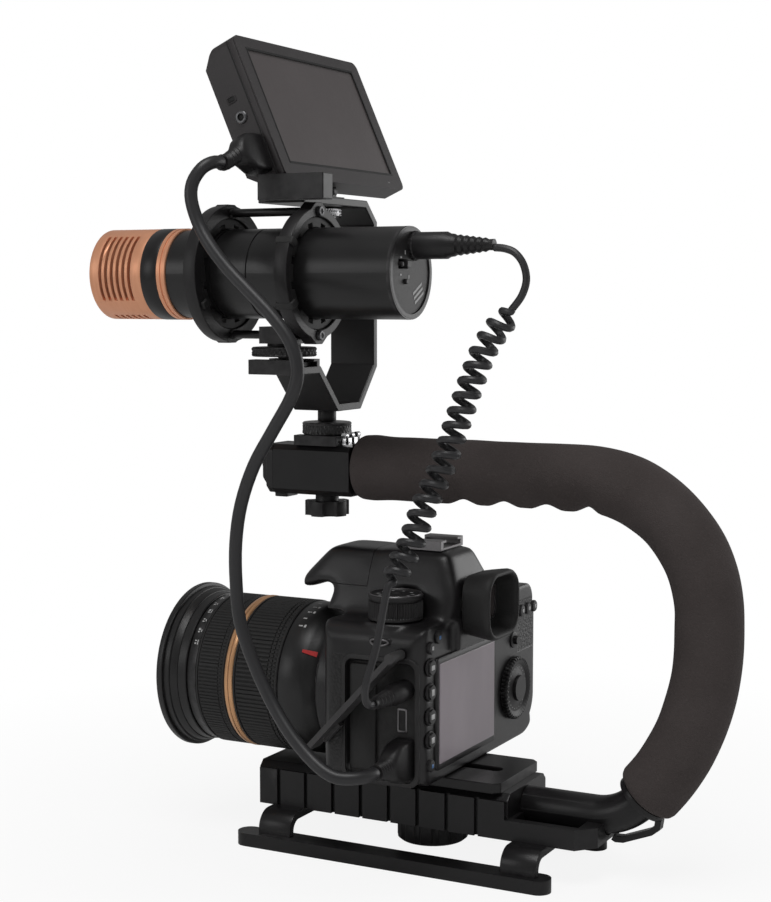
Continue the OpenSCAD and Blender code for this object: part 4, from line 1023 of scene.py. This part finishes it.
# %% Knurled wheel
def knurled_wheel(name, node, centre, height, radius, bore, material, slot, pitch=0.0015, depth=0.0004):
    count = round(2 * math.pi * radius / pitch)
    rows = max(6, int((height - 0.0016) / (pitch / 3)))
    chamfer = 0.0006
    profile = [(0, bore), (0, radius - chamfer), (chamfer, radius)]
    profile += [(chamfer + (height - 2 * chamfer) * k / rows, radius) for k in range(1, rows)]
    profile += [(height - chamfer, radius), (height, radius - chamfer), (height, bore)]

    def push(turn, row):
        if row < 3 or row > 1 + rows:
            return 0.0
        along = profile[row][0] / pitch
        spot = turn * count / (2 * math.pi)
        ridge = min(abs((spot + along * 0.8) % 1 - 0.5), abs((spot - along * 0.8) % 1 - 0.5)) * 2
        return -depth * (1 - ridge)

    return piece(name, *turned(centre, "Z", profile, count * 4, push), material, node, slot, 25, (node,))


mast_y, wheel_bore = -0.012, 0.00304
wheel_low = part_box("bracket_wheel")[0].z
wheel_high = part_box("bracket_wheel")[1].z
knurled_wheel("bracket_wheel_knurl", "bracket_wheel", at(0, mast_y, wheel_low), wheel_high - wheel_low,
              0.0123, wheel_bore, knurl_wear_and_painted_glint, "black_anodised", 0.0021, 0.0005)
mic_wheel_low, mic_wheel_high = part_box("mic_wheel")
knurled_wheel("mic_wheel_knurl", "mic_wheel", at(mic_x, mast_y, mic_wheel_low.z),
              mic_wheel_high.z - mic_wheel_low.z, 0.0155, wheel_bore, moulded, "black_plastic", 0.0026,
              0.0007)
mon_wheel_low, mon_wheel_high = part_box("monitor_wheel")
knurled_wheel("monitor_wheel_knurl", "monitor_wheel", at(-0.006, -0.0165, mon_wheel_low.z),
              mon_wheel_high.z - mon_wheel_low.z, 0.0085, wheel_bore, chrome, "bright_steel", 0.0012, 0.0003)
print("knurled wheels", 3)

# %% Mode dial
dial_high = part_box("mode_dial")[1]
dial_axis = at(0.034, 0.044, 0)
dial_r, dial_base = 0.0129, dial_high.z - 0.0124
dial_rows = [(0, 0.0118), (0, dial_r - 0.0006), (0.0006, dial_r), (0.0016, dial_r), (0.002, dial_r - 0.0001)]
dial_rows += [(0.002 + 0.0068 * k / 6, dial_r) for k in range(1, 6)]
dial_rows += [(0.0088, dial_r - 0.0001), (0.0093, dial_r - 0.0009), (0.0099, dial_r - 0.0009),
              (0.0102, dial_r)]
dial_rows += [(0.0117, dial_r), (0.0124, dial_r - 0.0007), (0.0124, dial_r - 0.0015),
              (0.0118, dial_r - 0.002)]
dial_rows += [(0.0118, 0.0035), (0.0114, 0.003)]


def dial_push(turn, row):
    return -0.0004 * groove(turn, 60, 0.4) if 4 <= row <= 10 else 0.0


dial_points, dial_faces = turned(dial_axis + Vector((0, 0, dial_base)), "Z", dial_rows, 240, dial_push, False)
piece("mode_dial_knurl", dial_points, dial_faces, moulded, "mode_dial", "black_plastic", 30, ("mode_dial",))
rim_rows = [(0.01215, dial_r - 0.0012), (0.01245, dial_r - 0.0009), (0.01245, dial_r - 0.0006),
            (0.01215, dial_r - 0.0004)]
piece("mode_dial_rim", *turned(dial_axis + Vector((0, 0, dial_base)), "Z", rim_rows, 96), worn_grey,
      "mode_dial", "bright_steel")
dial_marks, dial_mark_faces = [], []
for k in range(10):
    turn = 2 * math.pi * k / 10
    for dr, dt in ((0, -0.045), (0, 0.045), (0.0016, 0.06), (0.0016, -0.06)):
        dial_marks.append(dial_axis + Vector(((0.0074 + dr) * math.cos(turn + dt),
                                              (0.0074 + dr) * math.sin(turn + dt),
                                              dial_base + 0.01185)))
    dial_mark_faces.append(tuple(range(4 * k, 4 * k + 4)))
piece("mode_dial_marks", dial_marks, dial_mark_faces, white_paint, "mode_dial", "bright_steel")
print("mode dial ready")

# %% [markdown]
# ## The camera's shell
#
# A camera body is moulded in pieces, but the eye reads one flowing form: the hump, the shoulders
# and the grip run into each other with soft fillets. Here the designed pieces are joined and
# rebuilt as one skin of small even cells, then smoothed. Sharp steps become fillets of about a
# millimetre and a half, while the port bay and the wells of the buttons stay open.

# %% Join and rebuild the shell
import numpy as np

shoulder_z, prism_top = 0.1179, 0.1489
flash_back, flash_floor = 0.022, shoulder_z + 0.0132
shell_nodes = ("camera_body", "prism_cover", "hand_grip")


def solid_box(mesh, low, high):
    spots = [(x, y, z) for x in (low.x, high.x) for y in (low.y, high.y) for z in (low.z, high.z)]
    bmesh.ops.convex_hull(mesh, input=[mesh.verts.new(spot) for spot in spots])


def rebuilt(cell):
    """The shell, the lamp housing and fillers between them as one skin of even cells."""
    whole = bmesh.new()
    for node in (*shell_nodes, "popup_flash"):
        whole.from_mesh(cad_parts[node].data)
    bmesh.ops.remove_doubles(whole, verts=whole.verts, dist=1e-6)
    solid_box(whole, at(-0.0205, 0.002, shoulder_z + 0.0112), at(0.0205, 0.0262, shoulder_z + 0.0142))
    solid_box(whole, at(-0.0146, 0.018, shoulder_z + 0.014), at(0.0146, 0.0275, prism_top - 0.0012))
    joined = bpy.data.meshes.new("shell_source")
    whole.to_mesh(joined)
    whole.free()
    source = bpy.data.objects.new("shell_source", joined)
    bpy.context.scene.collection.objects.link(source)
    even = source.modifiers.new("even_cells", "REMESH")
    even.mode = "VOXEL"
    even.voxel_size = cell
    bpy.context.view_layer.update()
    shaped = bpy.data.meshes.new_from_object(source.evaluated_get(bpy.context.evaluated_depsgraph_get()))
    bpy.data.objects.remove(source)
    return shaped


cell = 0.0008
shaped = rebuilt(cell)
print("shell cells", len(shaped.vertices))

# %% [markdown]
# Smoothing pulls each point towards its neighbours. A few passes turn a step into a fillet, and many
# passes melt a form. The hump over the mirror gets many, so that it flows into the shoulders. The
# port bay, the display's recess and the wells of the dials get few, so they stay crisp.


# %% Smooth the shell
def ramp(value, low, high):
    return np.clip((value - low) / (high - low), 0, 1)


def melt(mesh, weight_of, passes, least):
    """Smooths a mesh; weight_of gives each point's share of the passes."""
    spots = np.empty(len(mesh.vertices) * 3)
    mesh.vertices.foreach_get("co", spots)
    spots = spots.reshape(-1, 3)
    ends = np.empty(len(mesh.edges) * 2, int)
    mesh.edges.foreach_get("vertices", ends)
    first, second = ends.reshape(-1, 2).T
    both, other = np.concatenate((first, second)), np.concatenate((second, first))
    count = np.bincount(both, minlength=len(spots))[:, None]
    weight = weight_of(spots - np.array(rig_origin))
    for k in range(passes):
        pull = np.stack([np.bincount(both, spots[other, axis], len(spots)) for axis in range(3)], 1) / count
        share = 0.6 if k < least else 0.6 * weight[:, None]
        spots = spots + (pull - spots) * share
    return spots


def hump_share(spots):
    x, y, z = spots.T
    share = ramp(z, shoulder_z - 0.004, shoulder_z + 0.004) * ramp(x, -0.034,
                                                                   -0.028) * (1 - ramp(x, 0.028, 0.034))
    dial_gap = np.hypot(x - 0.034, y - 0.044)
    return share * ramp(dial_gap, 0.0135, 0.018)


shell_spots = melt(shaped, hump_share, 90, 7)


def round_corner(spots, middle_x, middle_z, radius, sign_x, sign_z):
    """Turns a square corner of the front view into a round one."""
    dx, dz = (spots[:, 0] - middle_x) * sign_x, (spots[:, 2] - middle_z) * sign_z
    near = (dx > 0) & (dz > 0)
    longest, reach = np.maximum(dx, dz), np.hypot(dx, dz) + 1e-9
    factor = np.where(near, longest / reach, 1.0)
    spots[:, 0] = middle_x + (spots[:, 0] - middle_x) * factor
    spots[:, 2] = middle_z + (spots[:, 2] - middle_z) * factor


own = shell_spots - np.array(rig_origin)
round_corner(own, -0.066, 0.0635, 0.020, -1, -1)
round_corner(own, -0.073, 0.105, 0.013, -1, 1)
shell_spots = own + np.array(rig_origin)
shaped.vertices.foreach_set("co", shell_spots.ravel())
shaped.update()
print("shell smoothed")

# %% [markdown]
# The lamp housing is then cut out of the hump, as its moulding really parts from the body along one
# seam. A block with the seam's outline is used twice: what lies inside it is the lamp housing, and a
# slightly larger block is taken away from the rest.


# %% Part the lamp housing from the shell
def block_from(shape):
    """A closed object made of points and faces, to cut with."""
    made = bpy.data.meshes.new("block")
    made.from_pydata([tuple(p) for p in shape[0]], [], shape[1])
    mesh = bmesh.new()
    mesh.from_mesh(made)
    bmesh.ops.recalc_face_normals(mesh, faces=mesh.faces)
    mesh.to_mesh(made)
    mesh.free()
    return bpy.data.objects.new("block", made)


def seam_block(grow):
    """A block round the lamp housing, whose floor and back follow the seam."""
    low = flash_floor - grow
    outline = [(flash_back + grow, low), (flash_back + grow, prism_top + 0.01), (-0.03, prism_top + 0.01),
               (-0.03, shoulder_z + 0.004 - grow), (-0.0185, shoulder_z + 0.0070 - grow), (-0.0062, low)]
    return block_from(lofted([[at(x, y, z) for y, z in outline] for x in (-0.04, 0.04)]))


def parted(mesh, operation, block):
    """What a block leaves of a mesh, or shares with it."""
    whole = bpy.data.objects.new("whole", mesh)
    for made in (whole, block):
        bpy.context.scene.collection.objects.link(made)
    cut = whole.modifiers.new("cut", "BOOLEAN")
    cut.operation, cut.object, cut.solver = operation, block, "EXACT"
    bpy.context.view_layer.update()
    result = bpy.data.meshes.new_from_object(whole.evaluated_get(bpy.context.evaluated_depsgraph_get()))
    bpy.data.objects.remove(whole)
    bpy.data.objects.remove(block)
    return [v.co.copy() for v in result.vertices], [tuple(p.vertices) for p in result.polygons]


shell = piece("camera_shell", *parted(shaped, "DIFFERENCE", seam_block(0.00025)), shell_skin,
              slot="leatherette", sharp=60, stands_for=shell_nodes)
flash = piece("lamp_housing", *parted(shaped, "INTERSECT", seam_block(0.0)), shell_skin, "popup_flash",
              "black_plastic", 60, ("popup_flash",))
print("shell faces", len(shell.data.polygons), "lamp housing faces", len(flash.data.polygons))

# %% [markdown]
# ## Camera details
#
# Small parts give the body its scale: icons on the buttons, the frame round the port bay, the
# sockets that aren't in use, the strap lug, and the raised surround of the display. Each is a
# low plate or ring with rounded edges that stands a few tenths of a millimetre proud.


# %% Plates on a face
def plate(name, place, width, height, thick, corner, material, body="rig", slot="black_plastic", hole=None):
    """A rounded plate; place(u, v, w) maps its face and its thickness into the frame."""
    outer = rounded_outline(width, height, corner)
    soft = min(thick * 0.4, 0.0004)
    small = rounded_outline(width - 2 * soft, height - 2 * soft, max(corner - soft, 0.0001))
    if hole is None:
        rings = [[place(u, v, 0) for u, v in outer], [place(u, v, thick - soft) for u, v in outer],
                 [place(u, v, thick) for u, v in small]]
        return piece(name, *lofted(rings), material, body, slot, 50)
    inner = rounded_outline(*hole)
    rings = [[place(u, v, 0) for u, v in outer], [place(u, v, thick - soft) for u, v in outer],
             [place(u, v, thick) for u, v in small], [place(u, v, thick) for u, v in inner],
             [place(u, v, 0) for u, v in inner]]
    points = [p for ring in rings for p in ring]
    return piece(name, points, strips(len(rings), len(outer), True), material, body, slot, 50)


def on_left(x, y, z):
    return lambda u, v, w: at(x + w, y + u, z + v)


def on_back(x, y, z):
    return lambda u, v, w: at(x - u, y + w, z + v)


plate("shoe_pedestal", lambda u, v, w: at(u, 0.048 + v, prism_top - 0.0046 + w), 0.0215, 0.0215, 0.0045,
      0.002, moulded)
back_y, left_x = 0.066, 0.050
lcd_low, lcd_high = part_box("lcd_window")
lcd_mid = (lcd_low + lcd_high) / 2 - rig_origin
plate("display_surround", on_back(lcd_mid.x, back_y - 0.0004, lcd_mid.z), 0.0675, 0.0535, 0.0015, 0.003,
      moulded,
      hole=(0.0617, 0.0472, 0.0008))
plate("port_bay_frame", on_left(left_x - 0.0008, 0.044, 0.0738), 0.0405, 0.0605, 0.0013, 0.0055, soft_touch,
      hole=(0.0365, 0.0560, 0.004))
plate("port_bay_floor", on_left(left_x - 0.0029, 0.044, 0.0738), 0.0352, 0.0545, 0.0004, 0.003, rubber)
plate("middle_socket", on_left(left_x - 0.0026, 0.0545, 0.0745), 0.0052, 0.0115, 0.0006, 0.001, worn_grey,
      slot="bright_steel", hole=(0.0036, 0.0095, 0.0006))
plate("front_door", on_left(left_x - 0.0027, 0.0345, 0.0745), 0.0135, 0.050, 0.0022, 0.002, rubber)
print("port bay ready")

# %% Buttons, icons and sockets
button_heights = [node_box[1].z - 0.0033 for node_box in (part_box(f"menu_button_{k}") for k in (1, 2, 3, 4))]
icon_sizes = ((0.0032, 0.0022), (0.0026, 0.0030), (0.0034, 0.0024), (0.0030, 0.0028))
for k, (height, (wide, tall)) in enumerate(zip(button_heights, icon_sizes), 1):
    plate(f"button_icon_{k}", on_back(0.042, back_y + 0.00155, height), wide, tall, 0.00015, 0.0003,
          white_paint, f"menu_button_{k}", "bright_steel")
    ring = [(0, 0.0043), (0.0006, 0.0043), (0.001, 0.0039), (0.001, 0.0035), (0, 0.0035)]
    centre = at(0.042, back_y - 0.0003, height)
    piece(f"button_well_{k}", *turned(centre, "Y", ring, 40), moulded, slot="black_plastic")
small_buttons = ((0.042, 0.1085), (0.0345, 0.1122), (-0.0715, 0.109), (-0.0795, 0.109), (-0.0635, 0.109),
                 (0.042, 0.0532))
for k, (x, z) in enumerate(small_buttons, 1):
    rows = [(0, 0.0030), (0.0012, 0.0030), (0.0017, 0.0026), (0.0019, 0.0012)]
    piece(f"small_button_{k}", *turned(at(x, back_y - 0.0004, z), "Y", rows, 32, None, False), moulded,
          slot="black_plastic")
    tone = blue_paint if k in (2, 6) else white_paint
    plate(f"small_icon_{k}", on_back(x, back_y + 0.00145, z), 0.0018, 0.0018, 0.00015, 0.0004, tone,
          slot="bright_steel")
print("buttons", len(button_heights) + len(small_buttons))

# %% Thumb stick and strap lug
stick = [(0, 0.0042), (0.001, 0.0042), (0.0013, 0.0036), (0.0013, 0.0022), (0.0028, 0.0022), (0.0032, 0.0019)]
piece("thumb_stick", *turned(at(-0.054, back_y - 0.0004, 0.0955), "Y", stick, 40, None, False), moulded,
      slot="black_plastic")
lug_y, lug_z, lug_steps, lug_sides = 0.044, 0.1108, 24, 8
lug_path = [at(left_x + 0.0006 + 0.0016 * math.sin(t) ** 2, lug_y + 0.0046 * math.cos(t),
               lug_z + 0.0015 * math.sin(t))
            for t in [math.pi * 2 * k / lug_steps for k in range(lug_steps)]]
lug_points = []
for k, spot in enumerate(lug_path):
    ahead = (lug_path[(k + 1) % lug_steps] - lug_path[k - 1]).normalized()
    side = ahead.cross(Vector((1, 0, 0))).normalized()
    over = ahead.cross(side)
    turns = [2 * math.pi * j / lug_sides for j in range(lug_sides)]
    lug_points += [spot + (side * math.cos(t) + over * math.sin(t)) * 0.0005 for t in turns]
piece("strap_lug", lug_points, strips(lug_steps, lug_sides, True), worn_grey, slot="bright_steel", sharp=60)
plate("strap_lug_plate", on_left(left_x - 0.0010, lug_y, lug_z), 0.012, 0.0036, 0.0010, 0.0016, moulded)
print("strap lug ready")

# %% [markdown]
# ## Rear dial
#
# The big thumb dial is a ring with a ridged edge and a shallow dish, round a plain set button.
# It is turned like the lens rings, with ridges at the rim and a ring of small dots on its face.

# %% Rear dial ring
rear_low, rear_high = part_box("rear_dial")
dial_x, dial_z = -0.054, (rear_low.z + rear_high.z) / 2
dial_face = rear_high.y - rig_origin.y
thumb_rows = [(0.0662, 0.0066), (0.0662, 0.0158), (0.0672, 0.0160), (0.0686, 0.0159), (0.0693, 0.0150),
              (0.0690, 0.0136), (0.0680, 0.0120), (0.0680, 0.0092), (0.0688, 0.0076), (0.0688, 0.0066)]


def thumb_push(turn, row):
    return -0.0007 * groove(turn, 44, 0.35) if row in (2, 3, 4) else 0.0


piece("thumb_dial", *turned(at(dial_x, 0, dial_z), "Y", thumb_rows, 44 * 6, thumb_push), moulded, "rear_dial",
      "black_plastic", 30, ("rear_dial",))
dot_points, dot_faces = [], []
for k in range(24):
    turn = 2 * math.pi * k / 24
    spot = at(dial_x + 0.0106 * math.cos(turn), 0.06815, dial_z + 0.0106 * math.sin(turn))
    first = len(dot_points)
    dot_points += [spot + Vector((0.00035 * math.cos(a), 0, 0.00035 * math.sin(a))) for a in (0, 1.26,
                                                                                              2.51, 3.77,
                                                                                              5.03)]
    dot_faces.append(tuple(range(first, first + 5)))
piece("thumb_dial_dots", dot_points, dot_faces, white_paint, "rear_dial", "bright_steel")
print("thumb dial face", round(dial_face, 4))

# %% [markdown]
# ## Eyecup
#
# The eyecup is soft rubber: a deep rounded frame with a flared lip, and a dark window inside it. A
# loft of rounded rectangles runs up the outside, over the lip and back down into the recess,
# which keeps the rubber one skin of an even thickness.

# %% Eyecup
cup_low, cup_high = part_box("eyecup")
cup_mid = (cup_low + cup_high) / 2 - rig_origin
cup_w, cup_h = cup_high.x - cup_low.x, cup_high.z - cup_low.z
cup_rows = (
    (0.0000, cup_w - 0.0050, cup_h - 0.0040, 0.0080), (0.0040, cup_w - 0.0030, cup_h - 0.0024, 0.0095),
    (0.0090, cup_w - 0.0010, cup_h - 0.0008, 0.0108), (0.0120, cup_w, cup_h, 0.0115),
    (0.0140, cup_w - 0.0006, cup_h - 0.0006, 0.0113), (0.0149, cup_w - 0.0022, cup_h - 0.0022, 0.0105),
    (0.0147, cup_w - 0.0040, cup_h - 0.0040, 0.0096), (0.0125, cup_w - 0.0058, cup_h - 0.0058, 0.0086),
    (0.0070, cup_w - 0.0074, cup_h - 0.0082, 0.0074), (0.0040, cup_w - 0.0090, cup_h - 0.0110, 0.0060),
)
cup_rings = []
for along, width, height, corner in cup_rows:
    place = on_back(cup_mid.x, cup_low.y - rig_origin.y + along, cup_mid.z)
    cup_rings.append([place(u, v, 0) for u, v in rounded_outline(width, height, corner, 8)])
piece("eyecup_rubber", *lofted(cup_rings), rubber, slot="ring_rubber", sharp=70, stands_for=("eyecup",))
plate("eyepiece_glass", on_back(cup_mid.x, cup_low.y - rig_origin.y + 0.0041, cup_mid.z), 0.0225, 0.0155,
      0.0004,
      0.003, dark_panel_part_painted_reflection, slot="screen")
plate("eyepiece_frame", on_back(cup_mid.x, cup_low.y - rig_origin.y + 0.0041, cup_mid.z), 0.0245, 0.0175,
      0.0009,
      0.0035, worn_grey, slot="bright_steel", hole=(0.0222, 0.0152, 0.0028))
print("eyecup", round(cup_w, 4), round(cup_h, 4))

# %% [markdown]
# ## Monitor details
#
# The case is two mouldings with a seam a few millimetres behind the face. On its left side sit
# a headphone jack with a bright ring and a small slot, and the screen lies behind a sloping
# inner edge. The lower part of the bezel is wider than the rest.


# %% Monitor trim
def monitor_side(out, up):
    return lambda u, v, w: on_monitor(side_x + w, out + u, up + v)


def monitor_face(x, out, up):
    return lambda u, v, w: on_monitor(x - u, out + w, up + v)


case_mid_x, case_w, case_h = -0.01975, 0.1215, 0.0743
face_out, case_foot = 0.0078, 0.0011
outline = rounded_outline(case_w + 0.0001, case_h + 0.0001, 0.0042, 8)
block_rings = [[on_monitor(case_mid_x - u, out, case_foot + case_h / 2 + v) for u, v in outline]
               for out in (-0.03, 0.012)]
case_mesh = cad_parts["monitor_case"].data.copy()
case_clean = bmesh.new()
case_clean.from_mesh(case_mesh)
bmesh.ops.remove_doubles(case_clean, verts=case_clean.verts, dist=1e-6)
case_clean.to_mesh(case_mesh)
case_clean.free()
housing = piece("monitor_housing", *parted(case_mesh, "INTERSECT", block_from(lofted(block_rings))),
                bezel_grey,
                "monitor", "grey_black_bezel", 30, ("monitor_case",))
soft_edges = housing.modifiers.new("rounded_edges", "BEVEL")
soft_edges.width, soft_edges.segments = 0.0009, 2
soft_edges.limit_method, soft_edges.angle_limit = "ANGLE", math.radians(35)
plate("side_seam", monitor_side(face_out - 0.0046, case_foot + case_h / 2), 0.0006, case_h - 0.003,
      0.00012, 0.0002,
      pit_black, "monitor", "black_plastic")
plate("side_lip", monitor_side(face_out - 0.0022, case_foot + case_h / 2), 0.0030, case_h - 0.0045, 0.0005,
      0.0005,
      bezel_grey, "monitor", "grey_black_bezel")
jack_rows = [(0, 0.0031), (0.0006, 0.0031), (0.001, 0.0027), (0.001, 0.0018), (0, 0.0018)]
jack_points, jack_faces = turned(Vector((0, 0, 0)), "X", jack_rows, 32)
jack_spot = on_monitor(side_x, -0.0035, 0.0375)
piece("headphone_jack", [jack_spot + p for p in jack_points], jack_faces, screw_black, "monitor",
      "bright_steel")
plate("headphone_hole", lambda u, v, w: jack_spot + Vector((0.0002 + w, u, v)), 0.0035, 0.0035, 0.0001,
      0.0017,
      pit_black, "monitor", "black_plastic")
plate("card_slot", monitor_side(-0.0052, 0.0475), 0.0036, 0.0022, 0.0003, 0.0004, pit_black, "monitor")
plate("slot_frame", monitor_side(-0.0052, 0.0475), 0.0052, 0.0036, 0.0004, 0.0006, bezel_grey, "monitor",
      "grey_black_bezel", hole=(0.0038, 0.0024, 0.0004))
screen_mid_up = case_foot + case_h / 2 + 0.001
plate("screen_edge", monitor_face(case_mid_x, face_out - 0.0009, screen_mid_up), 0.1066, 0.0616, 0.0010,
      0.0008,
      pit_black, "monitor", "black_plastic", hole=(0.1036, 0.0586, 0.0004))
plate("power_lamp", monitor_face(case_mid_x - 0.045, face_out, case_foot + 0.0035), 0.0022, 0.0008, 0.0002,
      0.0003,
      worn_grey, "monitor", "bright_steel")
print("monitor trim ready")

# %% [markdown]
# ## Fasteners and clips
#
# The last small things: socket-head cap screws in the head's end cap and at the ends of the
# microphone's rods, and the small rubber clips round the shock rings.


# %% Cap screws
def cap_screw(name, centre, axis, radius, out, body="rig"):
    """A socket-head screw whose head stands out of a face by a radius."""
    sign = 1 if out > 0 else -1
    rows = [(0, radius), (sign * (abs(out) - 0.0003), radius), (out, radius - 0.0003), (out, radius * 0.55),
            (sign * (abs(out) - radius * 0.6), radius * 0.5)]
    hexed = lambda turn, row: -radius * 0.06 * abs(math.sin(3 * turn)) if row >= 3 else 0.0
    return piece(name, *turned(centre, axis, rows, 36, hexed, False), screw_black, body, "screw_steel")


for k, x in enumerate((-0.0075, 0.0075), 1):
    cap_screw(f"head_cap_screw_{k}", at(x, -0.0434, arm_z), "Y", 0.0021, -0.0006)
for k, s in enumerate((-1, 1), 1):
    for j, y in enumerate((-0.0473, 0.0073), 1):
        end = -0.0004 if y < 0 else 0.0004
        cap_screw(f"rod_screw_{k}_{j}", at(mic_x, y, mic_z + s * 0.0289), "Y", 0.0024, end * 4)
print("cap screws", 6)

# %% Shock mount clips
clip_points, clip_faces = [], []
for y in (-0.044, 0.004):
    for k in range(6):
        turn = math.radians(30 + 60 * k)
        first = len(clip_points)
        for along in (-0.0046, 0.0046):
            for reach, swing in ((0.0262, -0.07), (0.0262, 0.07), (0.0308, 0.06), (0.0308, -0.06)):
                clip_points.append(mic_axis + Vector((reach * math.cos(turn + swing), y + along,
                                                      reach * math.sin(turn + swing))))
        clip_faces += [tuple(first + v for v in quad) for quad in
                       ((0, 1, 2, 3), (4, 7, 6, 5), (0, 4, 5, 1), (1, 5, 6, 2), (2, 6, 7, 3), (3, 7, 4, 0))]
clips = piece("shock_clips", clip_points, clip_faces, rubber, slot="ring_rubber")
round_clips = clips.modifiers.new("rounded", "BEVEL")
round_clips.width = 0.0006
round_clips.segments = 2
print("shock clips", 12)

# %% [markdown]
# ## Light and backdrop
#
# The rig stands on a white sweep under three large soft boxes, with a pale room all round it. The
# lamps are kept plain, so a colour comes out about as it was mixed. The floor turns pure white for
# the camera further out, and near the rig it still takes a soft shadow.


# %% Soft boxes
def soft_box(name, place, target, size, power):
    light = bpy.data.lights.new(name, "AREA")
    light.shape, light.size, light.energy = "DISK", size, power
    lamp = bpy.data.objects.new(name, light)
    lamp.location = place
    lamp.rotation_euler = (target - place).to_track_quat("-Z", "Y").to_euler()
    bpy.context.scene.collection.objects.link(lamp)


middle = Vector((0, 0, 0.2))
soft_box("key_box", Vector((0.6, 0.2, 1.75)), middle, 1.0, 12)
soft_box("side_box", Vector((1.5, -1.1, 0.7)), middle, 0.8, 2.8)
soft_box("rim_box", Vector((-1.4, 0.78, 0.42)), middle, 1.1, 6)
print("soft boxes", 3)

# %% Room and floor
world = bpy.data.worlds.new("pale_room")
bpy.context.scene.world = world
world.use_nodes = True
sky = world.node_tree
seen = sky.nodes.new("ShaderNodeLightPath")
either = sky.nodes.new("ShaderNodeMath")
either.operation = "MAXIMUM"
sky.links.new(seen.outputs["Is Camera Ray"], either.inputs[0])
sky.links.new(seen.outputs["Is Transmission Ray"], either.inputs[1])
strength = sky.nodes.new("ShaderNodeMath")
strength.operation = "MULTIPLY_ADD"
sky.links.new(either.outputs[0], strength.inputs[0])
strength.inputs[1].default_value = 0.74
strength.inputs[2].default_value = 0.26
backdrop = sky.nodes["Background"]
backdrop.inputs["Color"].default_value = (1, 1, 1, 1)
sky.links.new(strength.outputs[0], backdrop.inputs["Strength"])

sweep = Finish("white_sweep", roughness=0.9)
grain = sweep.noise(6, 3)
sweep.feed("Base Color", sweep.blend(grain, rgba(0.86, 0.86, 0.86), rgba(0.9, 0.9, 0.9)))
away = sweep.node("ShaderNodeVectorMath", {"operation": "LENGTH"}, {0: sweep.place}, "Value")
camera_ray = sweep.node("ShaderNodeLightPath", {}, {}, "Is Camera Ray")
lit = away.above(0.12, 0.3) * 0.12 + 0.88
glow = sweep.tree.nodes.new("ShaderNodeEmission")
glow.inputs["Color"].default_value = (1, 1, 1, 1)
mixer = sweep.tree.nodes.new("ShaderNodeMixShader")
sweep.tree.links.new((lit * camera_ray).socket, mixer.inputs[0])
sweep.tree.links.new(sweep.shader.outputs[0], mixer.inputs[1])
sweep.tree.links.new(glow.outputs[0], mixer.inputs[2])
sweep.tree.links.new(mixer.outputs[0], sweep.tree.nodes["Material Output"].inputs["Surface"])
floor_mesh = bpy.data.meshes.new("floor")
reach = 12
floor_mesh.from_pydata([(-reach, -reach, 0), (reach, -reach, 0), (reach, reach, 0), (-reach, reach, 0)], [],
                       [(0, 1, 2, 3)])
floor_mesh.materials.append(sweep.material)
floor = bpy.data.objects.new("floor", floor_mesh)
bpy.context.scene.collection.objects.link(floor)
bpy.context.scene.view_settings.view_transform = "Standard"
print("room and floor ready")

# %% [markdown]
#

# %% Finish
bpy.context.view_layer.update()
